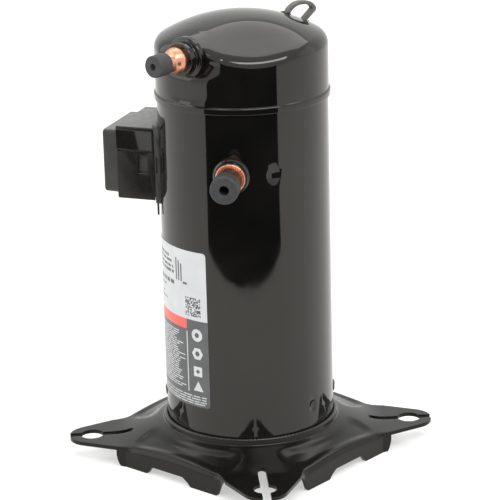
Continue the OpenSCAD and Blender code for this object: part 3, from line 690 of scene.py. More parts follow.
def build_base():
    outline = []
    quarter = quarter_outline()
    for k in range(4):
        outline += turned(quarter, k).tolist()
    outline = without_repeats([tuple(p) for p in outline])
    ring = circle(COLLAR_IN, COLLAR_COLS)
    step = 1.5
    ys = np.arange(-140, 140, step * 0.866)
    grid = np.array([(x + (step / 2 if i % 2 else 0), y) for i, y in enumerate(ys)
                     for x in np.arange(-140, 140, step)])
    flat, tris = triangulate(outline, [ring], grid, keep_off=0.75)
    verts = [np.column_stack([flat, sheet_height(flat[:, 0], flat[:, 1])])]
    faces = [list(map(int, t)) for t in tris]
    count = len(flat)
    # collar up the shell's foot
    th = np.linspace(0, 2 * math.pi, COLLAR_COLS, endpoint=False)
    prof = rounded([(COLLAR_IN, 0), (73.5, 1.2), (72.95, 5.4)], [0, 1.8, 0], 6)
    z_in = sheet_height(COLLAR_IN * np.cos(th), COLLAR_IN * np.sin(th))
    rows = []
    for r, dz in [*prof[:-1], (73.2, 3.2), (73.05, 4.4), prof[-1]]:
        rows.append(np.stack([r * np.cos(th), r * np.sin(th), z_in + dz], 1))
    rows = np.array(rows)
    verts.append(rows.reshape(-1, 3))
    faces += [[count + a for a in f] for f in lathe_faces(len(rows), COLLAR_COLS)]
    count += rows.shape[0] * rows.shape[1]
    # skirts: two as drawn and two mirrored about a diagonal
    strip = skirt_strip()
    maps = [lambda p: p, lambda p: p * [-1, -1, 1],
            lambda p: np.stack([-p[..., 1], -p[..., 0], p[..., 2]], -1),
            lambda p: np.stack([p[..., 1], p[..., 0], p[..., 2]], -1)]
    m, n = strip.shape[:2]
    for way in maps:
        verts.append(way(strip).reshape(-1, 3))
        for i in range(m - 1):
            here, below = count + i * n, count + (i + 1) * n
            faces += [[here + j, here + j + 1, below + j + 1, below + j] for j in range(n - 1)]
        count += m * n
    v, f = thicken(np.vstack(verts), faces, SHEET)
    obj = piece("base_plate_pressing", v, f, "housing", "black_paint", ["base_plate"], sharp=40,
                mats=[MATS["base_paint"]])
    return soften(obj, 0.4, 60, 2)


build_base()


def bead(r, z, size, cols=720, seed=1, lumps=0.16, pitch=3.4):
    """A weld bead round the shell: overlapping scales, a little uneven."""
    rng = random.Random(seed)
    th = np.linspace(0, 2 * math.pi, cols, endpoint=False)
    phase = [(rng.uniform(0, 6.28), rng.uniform(0.4, 1), k) for k in (3, 7, 11, 19)]
    slow = sum(a * np.sin(k * th + p) for p, a, k in phase) / 3
    count = round(2 * math.pi * r / pitch)
    scales = np.abs(np.sin(count * th / 2 + 0.6 * slow)) ** 0.7
    rad = size * (0.92 + lumps * (scales - 0.6) + 0.07 * slow)
    ang = np.linspace(0, 2 * math.pi, 20, endpoint=False)
    rr = r + rad[None, :] * np.cos(ang)[:, None]
    zz = z + rad[None, :] * np.sin(ang)[:, None] + 0.12 * slow[None, :]
    v = np.stack([rr * np.cos(th), rr * np.sin(th), zz], -1).reshape(-1, 3)
    return v, lathe_faces(20, cols, True)


foot_v, foot_f = bead(71.3, 32.5, 1.75)
piece("shell_foot_weld", foot_v, foot_f, "housing", "black_paint", sharp=60)


# ---------------------------------------------------------------- shell and caps

def build_shell():
    outer = [(SHELL_R, 27.0)] + [(SHELL_R, z) for z in np.arange(36, 306, 9.0)] + [(SHELL_R, 308.0)]
    prof = [(66.75, 27.5), (67.2, 27.0)] + outer + [(66.65, 308.0)]
    prof += [(66.65, z) for z in np.arange(300, 30, -30.0)]
    v, f = lathe_z(prof, 288)
    obj = piece("shell_tube_drawn", v, f, "housing", "black_paint", ["shell_tube"])
    holes = [bar_tool(40, 95, S_BORE + 1.7, AT_SUCTION), bar_tool(40, 95, 21, AT_TERMINAL)]
    for az, z, r, depth in DISHES:
        ball = (r * r + depth * depth) / (2 * depth)
        holes.append(ball_tool(ball, SHELL_R + ball - depth, place(az, z)))
    return cut(obj, holes)


build_shell()


def dimple(r, rise, seed):
    """A plug weld: a low lumpy button on the shell."""
    rng = random.Random(seed)
    ph = [rng.uniform(0, 6.28) for _ in range(4)]
    n, m = 40, 9
    verts = []
    for i in range(m):
        q = i / (m - 1)
        for j in range(n):
            a = 2 * math.pi * j / n
            rad = r * q * (1 + 0.05 * math.sin(3 * a + ph[0]) + 0.03 * math.sin(7 * a + ph[1]))
            y, zz = rad * math.cos(a), rad * math.sin(a)
            up = rise * (1 - q ** 2.6) * (1 + 0.08 * math.sin(2 * a + ph[2] + 5 * q))
            up -= 0.35 * rise * math.exp(-(q / 0.25) ** 2)
            base = math.sqrt(SHELL_R ** 2 - y * y) - 0.15
            verts.append((base + up, y, zz))
    faces = lathe_faces(m, n)
    back = len(verts)
    for j in range(n):
        x, y, zz = verts[(m - 1) * n + j]
        verts.append((x - 1.0, y, zz))
    rim = back - n
    faces += [(rim + j, rim + (j + 1) % n, back + (j + 1) % n, back + j) for j in range(n)]
    faces.append(tuple(back + j for j in range(n)))
    return verts, faces


for number, az in enumerate(BUTTON_AZ):
    v, f = dimple(5.6, 1.8, number + 3)
    piece(f"plug_weld_{number + 1}", v, f, "housing", "black_paint", where=place(az, BUTTON_Z), sharp=60)


CAP_R = 70.4
CROWN_R, CROWN_Z = 130.0, 245.0
KNUCKLE = 12.0
KNUCKLE_Z = CROWN_Z + math.sqrt((CROWN_R - KNUCKLE) ** 2 - (CAP_R - KNUCKLE) ** 2)
FACET_AZ, FACET_Z, FACET_TILT = -38.0, 350.0, 33.0
FACET_HOLLOW = 1.9
# the flat seat round the discharge fitting, which fades into the round side below SEAT_TOP
SEAT_Y, SEAT_R = 63.5, 35.0
SEAT_TOP, SEAT_FADE, SEAT_LIFT = 347.0, 17.0, 7.5
# the cap's surface is found along rays from this height on the axis
RAY_Z = 220.0


def cap_field(p):
    """Signed measure of the pressed cap's outside, negative within."""
    x, y, z = p[..., 0], p[..., 1], p[..., 2]
    r = np.hypot(x, y)
    kx = CAP_R - KNUCKLE
    beyond = (r * (KNUCKLE_Z - CROWN_Z) - (z - CROWN_Z) * kx) > 0
    dome = np.where(z < KNUCKLE_Z, r - CAP_R,
                    np.where(beyond, np.hypot(r - kx, z - KNUCKLE_Z) - KNUCKLE,
                             np.hypot(r, z - CROWN_Z) - CROWN_R))
    a, tilt = math.radians(FACET_AZ), math.radians(FACET_TILT)
    out = x * math.cos(a) + y * math.sin(a)
    facet = (out - CAP_R) * math.sin(tilt) + (z - FACET_Z) * math.cos(tilt)
    # a slight hollow across the facet
    across = -x * math.sin(a) + y * math.cos(a)
    down = (out - CAP_R) * math.cos(tilt) - (z - FACET_Z) * math.sin(tilt) + 22.0
    facet = facet + FACET_HOLLOW - (across ** 2 * 0.9 + down ** 2 * 1.5) / 600.0
    soft = np.interp(z, [346, 362], [6.0, 9.0])
    d = soft_max(dome, facet, soft)
    axis = np.hypot(x, z - DISCHARGE[1])
    floor_y = SEAT_Y + SEAT_LIFT * smoothstep((SEAT_TOP - z) / SEAT_FADE)
    pocket = soft_min(SEAT_R - axis, -(y + floor_y), 6.0)
    return soft_max(d, pocket, np.interp(z, [340, 350, 358, 366], [5.0, 3.0, 9.0, 21.0]))


def build_cap():
    cols, rows = 600, 230
    centre = np.array([0, 0, RAY_Z])
    th = np.linspace(0, 2 * math.pi, cols, endpoint=False)
    low = math.atan2(312.9 - centre[2], CAP_R)
    phi = np.linspace(low, math.radians(89.6), rows)
    cp, sp = np.cos(phi)[:, None], np.sin(phi)[:, None]
    way = np.stack([cp * np.cos(th), cp * np.sin(th), np.repeat(sp, cols, 1)], -1)
    near = np.full(way.shape[:2], 90.0)
    far = np.full(way.shape[:2], 185.0)
    probe = np.linspace(185, 90, 60)
    found = np.zeros(way.shape[:2], bool)
    for a, b in zip(probe[:-1], probe[1:]):
        inner = cap_field(centre + way * b) < 0
        new = inner & ~found
        near[new], far[new] = b, a
        found |= inner
    for _ in range(26):
        mid = (near + far) / 2
        inner = cap_field(centre + way * mid[..., None]) < 0
        near = np.where(inner, mid, near)
        far = np.where(inner, far, mid)
    dome = centre + way * ((near + far) / 2)[..., None]
    rim = rounded([(70.2, 306.5), (71.7, 306.5), (71.7, 311.6), (70.4, 312.6)], [0, 1.0, 1.3, 0], 5)
    foot = np.array([[(r * math.cos(a), r * math.sin(a), z) for a in th] for r, z in rim])
    grid = np.concatenate([foot, dome])
    v = grid.reshape(-1, 3)
    faces = lathe_faces(len(grid), cols, False)
    top = len(v)
    v = np.vstack([v, dome[-1].mean(0)])
    last = (len(grid) - 1) * cols
    faces += [(last + j, last + (j + 1) % cols, top) for j in range(cols)]

    def wall(p):
        at_rim = np.maximum(np.hypot(p[:, 0], p[:, 1]) - 69.95, 0.2)
        return np.where(p[:, 2] < 311.5, at_rim, SHEET)[:, None]

    v, f = thicken(v, faces, wall)
    obj = piece("top_cap_pressed", v, f, "housing", "black_paint", ["top_cap"], sharp=50)
    return cut(obj, [bar_tool(50, 75, 9.55, AT_DISCHARGE)])


build_cap()


# ---------------------------------------------------------------- lifting lug

def strap(path, half_width, thick, steps=14):
    """A flat strap with rounded edges swept along a path in a radial plane."""
    pts = [Vector((p[0], 0, p[1])) for p in path]
    knots = [pts[0] * 2 - pts[1], *pts, pts[-1] * 2 - pts[-2]]
    line_pts, sizes = [], []
    for i in range(1, len(knots) - 2):
        p0, p1, p2, p3 = knots[i - 1: i + 3]
        t0, t1 = thick[i - 1], thick[i]
        for k in range(steps):
            t = k / steps
            c = 0.5 * ((2 * p1) + (p2 - p0) * t + (2 * p0 - 5 * p1 + 4 * p2 - p3) * t * t
                       + (3 * p1 - p0 - 3 * p2 + p3) * t ** 3)
            line_pts.append(c)
            sizes.append(t0 + (t1 - t0) * t)
    line_pts.append(pts[-1])
    sizes.append(thick[-1])
    section = closed_round([(-1, -1), (1, -1), (1, 1), (-1, 1)], [0.22] * 4, 4)
    verts = []
    for i, c in enumerate(line_pts):
        ahead = line_pts[min(i + 1, len(line_pts) - 1)] - line_pts[max(i - 1, 0)]
        ahead.normalize()
        side = Vector((-ahead.z, 0, ahead.x))
        for u, w in section:
            verts.append(tuple(c + side * (u * sizes[i] / 2) + Vector((0, w * half_width, 0))))
    return verts, capped(verts, len(section))


def cap_top_z(r):
    """Height of the round part of the cap at a radius."""
    if r < CAP_R - KNUCKLE:
        return CROWN_Z + math.sqrt(CROWN_R ** 2 - r * r)
    return KNUCKLE_Z + math.sqrt(KNUCKLE ** 2 - (r - CAP_R + KNUCKLE) ** 2)


LUG_AZ, LUG_HALF = 70, 3.0
LUG_PATH = [(42.0, 364.4), (43.0, 366.6), (44.6, 369.6), (46.9, 371.9), (50.3, 373.9), (54.5, 374.9),
            (59.8, 374.7), (64.9, 373.0), (67.9, 369.0), (65.5, 366.2), (62.3, 363.4), (59.2, 360.8),
            (57.2, 358.6)]
LUG_THICK = [3.2, 3.2, 3.1, 3.0, 2.9, 2.8, 2.8, 3.2, 3.6, 3.5, 3.3, 3.2, 3.2]
v, f = strap(LUG_PATH, LUG_HALF, LUG_THICK)
piece("lifting_lug_strap", v, f, "housing", "black_paint", ["lifting_lug"], where=place(LUG_AZ), sharp=45,
      mats=[MATS["lug_steel"]])


def lumpy_bead(points, size, seed):
    """A short weld along points, with scales."""
    rng = random.Random(seed)
    verts = []
    n = 14
    path = [Vector(p) for p in points]
    for i, c in enumerate(path):
        ahead = (path[min(i + 1, len(path) - 1)] - path[max(i - 1, 0)]).normalized()
        side = ahead.cross(Vector((0, 0, 1))).normalized()
        up = side.cross(ahead)
        end = min(i, len(path) - 1 - i) / 2.0
        scale = 0.9 + 0.2 * abs(math.sin(i * 0.9)) + rng.uniform(-0.05, 0.05)
        r = size * min(1.0, 0.15 + 0.6 * end) * scale
        for j in range(n):
            a = 2 * math.pi * j / n
            verts.append(tuple(c + side * (r * math.cos(a)) + up * (r * 0.8 * math.sin(a))))
    return verts, capped(verts, n)


WELD_R = ((39.8, 45.4), (58.0, 62.8))
welds = []
for number, ((r0, r1), y) in enumerate([(ends, side) for ends in WELD_R for side in (-3.3, 3.3)]):
    radii = [r0 + (r1 - r0) * i / 12 for i in range(13)]
    welds.append(lumpy_bead([(r, y, cap_top_z(math.hypot(r, y)) + 0.2) for r in radii], 1.0, number + 20))
piece("lifting_lug_welds", *join(welds), "housing", "black_paint", where=place(LUG_AZ), sharp=60)


# ---------------------------------------------------------------- stub tubes

v, f = lathe_x(closed_round([(7, 57.5), (9.5, 57.5), (9.5, 63.4), (17, 63.5), (17, 68), (13.5, 68.4),
                             (13.5, 75.5), (8.0, 75.5), (8.0, 67.5), (7, 67.5)],
                            [0.2, 0.3, 0.1, 0.5, 1.3, 0.9, 1.2, 0.5, 0.1, 0.1]), 128)
piece("discharge_collar", v, f, "housing", "black_paint", ["discharge_fitting"], where=AT_DISCHARGE)

v, f = lathe_x(closed_round([(6.4, 67.6), (7.95, 67.6), (7.95, 75.7), (10.4, 75.8), (10.7, 79.0), (9.6, 82.8),
                             (7.75, 85.6), (7.6, 100), (6.4, 100)],
                            [0.1, 0.1, 0.1, 0.8, 3.0, 5.0, 3.0, 0.35, 0.35], 7), 128)
piece("discharge_stub", v, f, "housing", "copper", ["discharge_tube"], where=AT_DISCHARGE)


def braze(r, x, size, name, where, seed):
    """A ring of brazing metal round a stub."""
    v, f = bead(r, 0, size, 240, seed, 0.1, pitch=2.3)
    v = v[:, [2, 0, 1]] + np.array([x, 0, 0])
    piece(name, v, f, "housing", "copper", where=where, sharp=60)


braze(9.0, 75.8, 1.3, "discharge_braze", AT_DISCHARGE, 7)

v, f = lathe_x(closed_round([(7.65, 91), (8.8, 91), (8.8, 105), (2.6, 105), (2.6, 102), (0.001, 102),
                             (0.001, 100.3), (7.65, 100.3)],
                            [0.3, 0.5, 1.1, 0.5, 0.6, 0, 0, 0.3]), 96)
piece("discharge_rubber_plug", v, f, "discharge_cap", "black_rubber", ["discharge_plug"],
      where=AT_DISCHARGE)

def suction_collar():
    bore = S_RO + 0.05
    prof = closed_round([(bore, 62), (14.8, 62), (14.8, 72.2), (13.2, 74.2), (12.6, 77.5), (bore, 77.5)],
                        [0, 0, 1.6, 3.0, 1.3, 0.6])
    v, f = lathe_x(prof, 160)
    obj = piece("suction_collar", v, f, "housing", "black_paint", ["suction_fitting"], where=AT_SUCTION)
    return cut(obj, [round_tool(69.9, 200, 310)])


suction_collar()
v, f = lathe_x(closed_round([(S_BORE, 63), (S_RO, 63), (S_RO, S_TIP), (S_BORE, S_TIP)],
                            [0.1, 0.1, 0.4, 0.4]), 128)
piece("suction_stub", v, f, "housing", "copper", ["suction_tube"], where=AT_SUCTION)
braze(S_RO + 0.5, 77.5, 1.0, "suction_braze", AT_SUCTION, 9)

plug_r = S_BORE - 0.1
v, f = lathe_x(closed_round([(3.9, S_TIP - 6), (3.9, S_TIP + 13.5), (11.4, S_TIP + 13.5), (11.4, S_TIP + 0.1),
                             (plug_r, S_TIP + 0.1), (plug_r - 0.2, S_TIP - 12), (0.001, S_TIP - 12),
                             (0.001, S_TIP - 6)],
                            [0.4, 0.7, 1.6, 0.6, 0.3, 1.5, 0, 0]), 112)
piece("suction_rubber_plug", v, f, "suction_cap", "black_rubber", ["suction_plug"], where=AT_SUCTION)


# ---------------------------------------------------------------- terminal box

def hollow(outer, inner):
    """An open-backed shell between two stacks of (y, z) outlines, each at its own local X."""
    verts, faces = [], []
    rows = []
    n = len(outer[0][1])
    for x, loop in outer + list(reversed(inner)):
        rows.append(len(verts))
        verts += [(x, *p) for p in loop]
    cap_out, cap_in = len(outer) - 1, len(outer)
    for i in range(len(rows)):
        j = (i + 1) % len(rows)
        if i == cap_out:
            faces.append(tuple(rows[i] + k for k in range(n)))
            continue
        for k in range(n):
            m = (k + 1) % n
            faces.append((rows[i] + k, rows[i] + m, rows[j] + m, rows[j] + k))
    faces.append(tuple(rows[cap_in] + k for k in reversed(range(n))))
    return verts, faces


COVER_HALF, COVER_LOW, COVER_HIGH, COVER_TOP = 33, -27.3, 34.2, 99.5
BLOCK_HALF, BLOCK_LOW, BLOCK_HIGH, BLOCK_TOP = 31.5, -23.5, 30.4, 110.1
WALL = 2.0
WINDOW_X, WINDOW_Z = (71.9, 80.5), (-5.0, 10.4)
BAND_X, BAND_Z, BAND_Y = (68.0, 98.8), (14.6, 30.8), 32.1
CONDUIT_X, CONDUIT_R = 86.4, 11.1


def inset_loop(half, low, high, inset, r):
    return rect(inset - half, half - inset, low + inset, high - inset, r, 7)


def cover_loop(inset, r):
    return inset_loop(COVER_HALF, COVER_LOW, COVER_HIGH, inset, r)


def block_loop(inset, r):
    return inset_loop(BLOCK_HALF, BLOCK_LOW, BLOCK_HIGH, inset, r)


def side_tools(near, far, span_z, r, span_x, where):
    """A pair of rounded blocks that cut both sides of the box alike."""
    return [tool(*prism(rect(*sorted((side * near, side * far)), *span_z, r), *span_x), where)
            for side in (-1, 1)]


def build_cover():
    outer = [(60.0, cover_loop(0, 1.6))]
    for k in range(6):
        a = math.radians(18 * k)
        outer.append((98.2 + 1.3 * math.sin(a), cover_loop(1.3 * (1 - math.cos(a)), 1.6)))
    outer += [(COVER_TOP, block_loop(0, 3.8)), (COVER_TOP + 0.3, block_loop(0, 3.8)),
              (BLOCK_TOP, block_loop(0.3, 3.8))]
    for k in range(1, 7):
        a = math.radians(15 * k)
        inset = 0.3 + 2.0 * (1 - math.cos(a))
        outer.append((BLOCK_TOP + 2.0 * math.sin(a), block_loop(inset, max(1.6, 3.8 - inset))))
    inner = [(60.0, cover_loop(WALL, 0.8)), (97.4, cover_loop(WALL, 0.8)),
             (97.5, rect(-29.4, 29.4, -21.5, 28.4, 1.8, 7)), (110.0, rect(-29.2, 29.2, -21.3, 28.2, 1.8, 7))]
    obj = piece("terminal_cover", *hollow(outer, inner), "box_cover", "box_plastic", ["terminal_box_cover"],
                where=AT_TERMINAL, sharp=38)
    tools = [round_tool(73.9, 150, 330)]
    tools += side_tools(28.0, 38.0, WINDOW_Z, 0.8, WINDOW_X, AT_TERMINAL)
    tools += side_tools(BAND_Y, 38.0, BAND_Z, 0.4, BAND_X, AT_TERMINAL)
    tools.append(tool(*upright(circle(CONDUIT_R, 64, CONDUIT_X), -30, -23.8), AT_TERMINAL))
    cut(obj, tools)
    soften(obj, 0.25, 50, 2)
    # the recessed bands on both sides are polished, and the rest of the sides is smoother than the front
    obj.data.materials.append(MATS["gloss_plastic"])
    obj.data.materials.append(MATS["side_plastic"])
    back = AT_TERMINAL.inverted()
    for face in obj.data.polygons:
        c = back @ face.center / MM
        in_band = BAND_Z[0] - 0.2 < c.z < BAND_Z[1] + 0.2 and BAND_X[0] - 0.1 < c.x < BAND_X[1] + 0.1
        if abs(abs(c.y) - BAND_Y) < 0.3 and in_band:
            face.material_index = 1
        elif abs(c.y) > COVER_HALF - 0.6 or (c.z < COVER_LOW + 0.5 and c.x < COVER_TOP - 0.2):
            face.material_index = 2


build_cover()


def bump_box(x0, x1, y0, y1, z0, z1, r):
    """A small moulded bar with all its corners rounded."""
    quarter = [math.pi / 2 * k / 4 for k in range(5)]
    rows = [(x0 + r - r * math.cos(a), r - r * math.sin(a)) for a in quarter]
    rows += [(x1 - r + r * math.sin(a), r - r * math.cos(a)) for a in quarter]
    verts = []
    for x, inset in rows:
        loop = rect(y0 + inset, y1 - inset, z0 + inset, z1 - inset, max(0.05, r - inset * 0.5), 4)
        verts += [(x, *p) for p in loop]
    return verts, capped(verts, len(verts) // len(rows))


ribs = []
for side in (-1, 1):
    ribs.append(bump_box(66.8, 99.3, *sorted((side * 32.5, side * 33.0)), 12.7, 14.2, 0.24))
    ribs.append(bump_box(71.5, 80.9, *sorted((side * 30.6, side * 31.6)), -2.6, -1.4, 0.4))
piece("terminal_cover_ribs", *join(ribs), "box_cover", "box_plastic", where=AT_TERMINAL, sharp=50)

TRAY_HALF, TRAY_LOW, TRAY_HIGH, TRAY_R, TRAY_HOLE = 37.5, -28.5, 38, 73.6, 24.3


def build_tray():
    """The flange behind the cover, curved to the shell on both faces."""
    flange = closed_round([(-TRAY_HALF, TRAY_LOW), (TRAY_HALF, TRAY_LOW), (TRAY_HALF, TRAY_HIGH),
                           (-TRAY_HALF, TRAY_HIGH)], [2.5, 2.5, 13.0, 13.0], 12)
    obj = piece("terminal_tray", *prism(flange, 52, 82), "housing", "box_plastic", ["terminal_box_base"],
                where=AT_TERMINAL, sharp=38)
    beyond = lathe_z([(TRAY_R, 150), (TRAY_R, 350), (95, 350), (95, 150)], 288)
    tools = [tool(*beyond), round_tool(69.95, 150, 350), bar_tool(50, 100, TRAY_HOLE, AT_TERMINAL)]
    tools += side_tools(36.0, 40.0, (-3, 11), 1.0, (60.5, 62.7), AT_TERMINAL)
    cut(obj, tools)
    soften(obj, 0.3, 50, 2)


build_tray()


def frame_wall(y0, y1, z0, z1, wall, x0, x1, r):
    """A low open frame: four thin walls between two planes."""
    a = rect(y0, y1, z0, z1, r, 5)
    b = rect(y0 + wall, y1 - wall, z0 + wall, z1 - wall, max(0.3, r - wall), 5)
    verts = [(x, *p) for x, loop in ((x0, a), (x1, a), (x1, b), (x0, b)) for p in loop]
    return verts, lathe_faces(4, len(a), True)


tray_parts = [frame_wall(-30.6, 30.6, -24.9, 31.8, 1.8, 66.0, 84.5, 1.2),
              bump_box(61.8, 63.4, 35.0, 36.6, -38, -28, 0.5)]
piece("terminal_tray_wall", *join(tray_parts), "housing", "box_plastic", where=AT_TERMINAL, sharp=40)


# ---------------------------------------------------------------- rating label

def flat_material(name, low, high):
    return surface(name, low, high, (0.3, 0.4), scale=60, bumps=[(500, 0.003)])


LABEL_MATS = [
    flat_material("label_white", (0.5, 0.515, 0.525), (0.56, 0.57, 0.58)),
    flat_material("label_red", (0.72, 0.09, 0.07), (0.78, 0.12, 0.09)),
    flat_material("label_grey", (0.07, 0.072, 0.075), (0.095, 0.097, 0.1)),
    flat_material("label_ink", (0.07, 0.07, 0.072), (0.1, 0.1, 0.102)),
    flat_material("label_pale", (0.5, 0.51, 0.52), (0.58, 0.59, 0.6)),
]
LABEL_AZ = (-169.5, -77.5)
LABEL_Z = (57.0, 190.5)
LABEL_R, BACK_R = SHELL_R + 0.3, SHELL_R + 0.06
WHITE, RED, GREY, INK, PALE = range(5)


def fine(loop, step=2.2):
    """The same loop with points at most a step apart."""
    out = []
    for a, b in zip(loop, loop[1:] + loop[:1]):
        n = max(1, math.ceil(math.dist(a, b) / step))
        out += [(a[0] + (b[0] - a[0]) * i / n, a[1] + (b[1] - a[1]) * i / n) for i in range(n)]
    return out


def ngon(cx, cz, r, n, turn):
    return [(cx + r * math.cos(turn + 2 * math.pi * k / n), cz + r * math.sin(turn + 2 * math.pi * k / n))
            for k in range(n)]


def label_shapes():
    """(outline, material) pairs, later ones on top."""
    rng = random.Random(41)
    width = math.radians(LABEL_AZ[1] - LABEL_AZ[0]) * LABEL_R
    column = width - 21.5
    shapes = []

    def box(s0, s1, z0, z1, mat):
        shapes.append(([(s0, z0), (s1, z0), (s1, z1), (s0, z1)], mat))

    def bars(at, stop, limit, z0, z1, run, gap, mat):
        """Plain bars of random lengths stand for a printed line."""
        while at < stop:
            end = min(at + rng.uniform(*run), limit)
            box(at, end, z0, z1, mat)
            at = end + rng.uniform(*gap)

    box(0.0, column, 57.0, 123.2, GREY)
    box(column, width, 57.0, 132.0, GREY)
    box(0.0, column, 123.2, 132.0, RED)
    box(column - 0.5, column + 0.5, 69.0, 121.5, PALE)
    z = 119.0
    while z > 70:
        length = rng.uniform(0.82, 0.98)
        start = rng.uniform(2.0, 5.0)
        bars(start, (column - 4) * length, column - 3, z - 0.55, z + 0.3, (3, 11), (0.8, 1.6), PALE)
        z -= 1.9
    for z in (65.8, 63.6, 61.4, 59.4):
        bars(3.0, width - 6, width - 3, z - 0.5, z + 0.4, (4, 12), (0.9, 1.7), PALE)
    for z, h, lo, hi in ((181, 2.6, 8, 68), (177, 2.2, 8, 74), (172.5, 2.2, 8, 75), (168.5, 2.6, 10, 76),
                         (159.5, 3.4, 10, 76)):
        bars(lo, hi, hi, z - h / 2, z + h / 2, (3.9, 11.7), (1.0, 2.2), INK)
    for z, hi in ((154.0, 60), (150.5, 48), (146.5, 55), (142.5, 62), (138.5, 44)):
        bars(10, hi, hi, z - 0.7, z + 0.7, (3, 9), (1.0, 2.2), GREY)
    for i in range(3):
        box(79 + 3.2 * i, 80.6 + 3.2 * i, 163, 182 - 2 * i, INK)
    box(88, 93, 161.2, 163.0, INK)
    # code square: random cells
    size, cell = 16, 1.0
    s0, z0 = width - 6.2 - size * cell, 135.2
    for i in range(size):
        for j in range(size):
            edge = i in (0, size - 1) or j in (0, size - 1)
            if rng.random() < (0.62 if edge else 0.5):
                box(s0 + i * cell, s0 + (i + 1) * cell, z0 + j * cell, z0 + (j + 1) * cell, INK)
    # four plain shapes in the column
    mid = (column + width) / 2
    for z, r, n, turn, mat in ((119.5, 5.4, 28, 0, WHITE), (119.5, 2.2, 16, 0, GREY),
                               (103.5, 5.6, 6, 0, WHITE), (103.5, 2.4, 6, 0, GREY),
                               (88.0, 6.0, 4, math.pi / 4, WHITE), (88.0, 2.2, 4, 0, GREY),
                               (73.8, 5.8, 3, math.pi / 2, WHITE)):
        shapes.append((ngon(mid, z, r, n, turn), mat))
    return shapes, width


def build_label():
    shapes, width = label_shapes()
    outline = fine(rect(0, width, *LABEL_Z, 3.0))
    grid = np.array([(s, z) for s in np.arange(1, width, 2.2) for z in np.arange(58, 190, 4.4)])
    marks = [fine(s) for s, _ in shapes]
    flat, tris = triangulate(outline, [], grid, keep_off=0.5, marks=marks)
    mid = flat[tris].mean(1)
    mats = np.zeros(len(tris), int)
    for loop, index in shapes:
        mats[inside(mid, loop)] = index
    a = math.radians(LABEL_AZ[0]) + flat[:, 0] / LABEL_R
    verts = np.stack([LABEL_R * np.cos(a), LABEL_R * np.sin(a), flat[:, 1]], 1)
    back = np.stack([BACK_R * np.cos(a), BACK_R * np.sin(a), flat[:, 1]], 1)
    n = len(verts)
    edges = dict.fromkeys((int(t[i]), int(t[(i + 1) % 3])) for t in tris for i in range(3))
    rim = [e for e in edges if (e[1], e[0]) not in edges]
    faces = [tuple(map(int, t)) for t in tris] + [tuple(int(i) + n for i in reversed(t)) for t in tris]
    faces += [(q, p, p + n, q + n) for p, q in rim]
    face_mats = [int(m) for m in mats] + [0] * (len(tris) + len(rim))
    piece("rating_label_film", np.vstack([verts, back]), faces, "housing", "label_film", ["rating_label"],
          sharp=50, tidy=False, mats=LABEL_MATS, face_mats=face_mats)


build_label()


# ---------------------------------------------------------------- stage, light and camera

def stage_mesh(name, verts, faces, mat):
    mesh = bpy.data.meshes.new(name)
    mesh.from_pydata(verts, [], faces)
    mesh.materials.append(mat)
    obj = linked(name, mesh)
    return obj


def plain(name, colour, glow=0.0):
    mat = bpy.data.materials.new(name)
    mat.use_nodes = True
    shader = mat.node_tree.nodes["Principled BSDF"]
    for socket, value in (("Base Color", (*colour, 1)), ("Roughness", 0.9), ("Specular IOR Level", 0.0),
                          ("Emission Color", (1, 1, 1, 1)), ("Emission Strength", glow)):
        shader.inputs[socket].default_value = value
    return mat


def glowing(name, strength):
    mat = bpy.data.materials.new(name)
    mat.use_nodes = True
    nodes, links = node_links(mat)
    nodes.clear()
    out = nodes.new("ShaderNodeOutputMaterial")
    em = nodes.new("ShaderNodeEmission")
    em.inputs["Color"].default_value = (1, 1, 1, 1)
    em.inputs["Strength"].default_value = strength
    links.new(em.outputs["Emission"], out.inputs["Surface"])
    return mat


CAM_AZ = math.radians(-49.13)


def toward(az_off, dist, z):
    """A point at a distance from the axis, at an angle from the camera's own direction."""
    a = CAM_AZ + math.radians(az_off)
    return (dist * math.cos(a), dist * math.sin(a), z)


ROOM = 6
stage_mesh("floor", [(-ROOM, -ROOM, 0), (ROOM, -ROOM, 0), (ROOM, ROOM, 0), (-ROOM, ROOM, 0)], [(0, 1, 2, 3)],
           plain("floor_white", (0.5, 0.495, 0.48), glow=0.5))

# A dark card that only reflections see: the unlit room in front of the table.
CARD_EDGE = [(-50, 0.665), (-36, 0.60), (-19, 0.56), (0, 0.55), (19, 0.56), (33, 0.595), (45, 0.665)]
card_verts = [toward(a, d, 0.002) for a, d in CARD_EDGE] + [toward(a, ROOM, 0.002) for a, _ in CARD_EDGE]
card_faces = [(i, i + 1, i + 8, i + 7) for i in range(6)]
card = stage_mesh("dark_card", card_verts, card_faces, plain("card_black", (0.0, 0.0, 0.0)))
for flag in ("visible_camera", "visible_diffuse", "visible_transmission", "visible_volume_scatter",
             "visible_shadow"):
    setattr(card, flag, False)


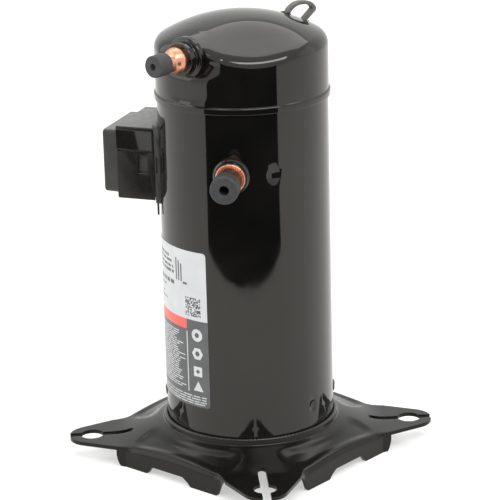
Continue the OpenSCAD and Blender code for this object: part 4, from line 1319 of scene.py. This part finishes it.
def softbox(name, centre, size, aim_z, strength):
    """A glowing panel facing a point on the axis, unseen by the camera itself."""
    c = Vector(centre)
    z = (c - Vector((0, 0, aim_z))).normalized()
    x = Vector((0, 0, 1)).cross(z).normalized()
    y = z.cross(x)
    w, h = size[0] / 2, size[1] / 2
    corners = ((-1, -1), (1, -1), (1, 1), (-1, 1))
    verts = [tuple(c + x * sx * w + y * sy * h) for sx, sy in corners]
    obj = stage_mesh(name, verts, [(0, 1, 2, 3)], glowing(name, strength))
    obj.visible_camera = False
    obj.visible_shadow = False


softbox("overhead_light", toward(180, 0.95, 2.2), (2.8, 1.25), 0.3, 2.6)
softbox("key_light", toward(-33, 1.5, 2.3), (0.5, 0.4), 0.3, 9.0)
softbox("front_light", toward(30, 1.45, 2.0), (1.7, 0.75), 0.3, 8.0)
softbox("left_light", toward(-95, 2.2, 1.1), (1.8, 1.9), 0.2, 2.2)
softbox("right_light", toward(95, 2.4, 1.0), (1.5, 1.7), 0.2, 1.3)

world = bpy.data.worlds.new("studio")
bpy.context.scene.world = world
world.use_nodes = True
sky = world.node_tree.nodes["Background"]
sky.inputs["Color"].default_value = (1, 1, 1, 1)
sky.inputs["Strength"].default_value = 1.0

bpy.context.scene.view_settings.view_transform = "Standard"

# camera: distance from the axis, height and roll
CAM_DIST, CAM_Z, CAM_ROLL, CAM_LENS = 1.8904, 0.7809, -0.0266, 172.6
eye = Vector((CAM_DIST * math.cos(CAM_AZ), CAM_DIST * math.sin(CAM_AZ), CAM_Z))
forward = Vector((-0.6219, 0.7209, -0.3060)).normalized()
right = forward.cross(Vector((0, 0, 1))).normalized()
up = right.cross(forward)
cos_roll, sin_roll = math.cos(CAM_ROLL), math.sin(CAM_ROLL)
axes = Matrix((right * cos_roll + up * sin_roll, up * cos_roll - right * sin_roll, -forward)).transposed()
cam_data = bpy.data.cameras.new("camera")
cam_data.sensor_width = 36
cam_data.lens = CAM_LENS
cam_data.clip_end = 50
camera = linked("camera", cam_data)
camera.matrix_world = Matrix.Translation(eye) @ axes.to_4x4()
bpy.context.scene.camera = camera

# The relief spring, which shortens under its poppet against its fixed upper end, is copied as a rigid piece
# on the housing; nothing here makes it shorten.
spring = frame["nodes"]["relief_spring"]
coil = linked("relief_spring_coil", spring.data.copy())
coil.matrix_world = spring.matrix_world.copy()
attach(coil, "housing")
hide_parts("relief_spring")
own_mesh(coil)
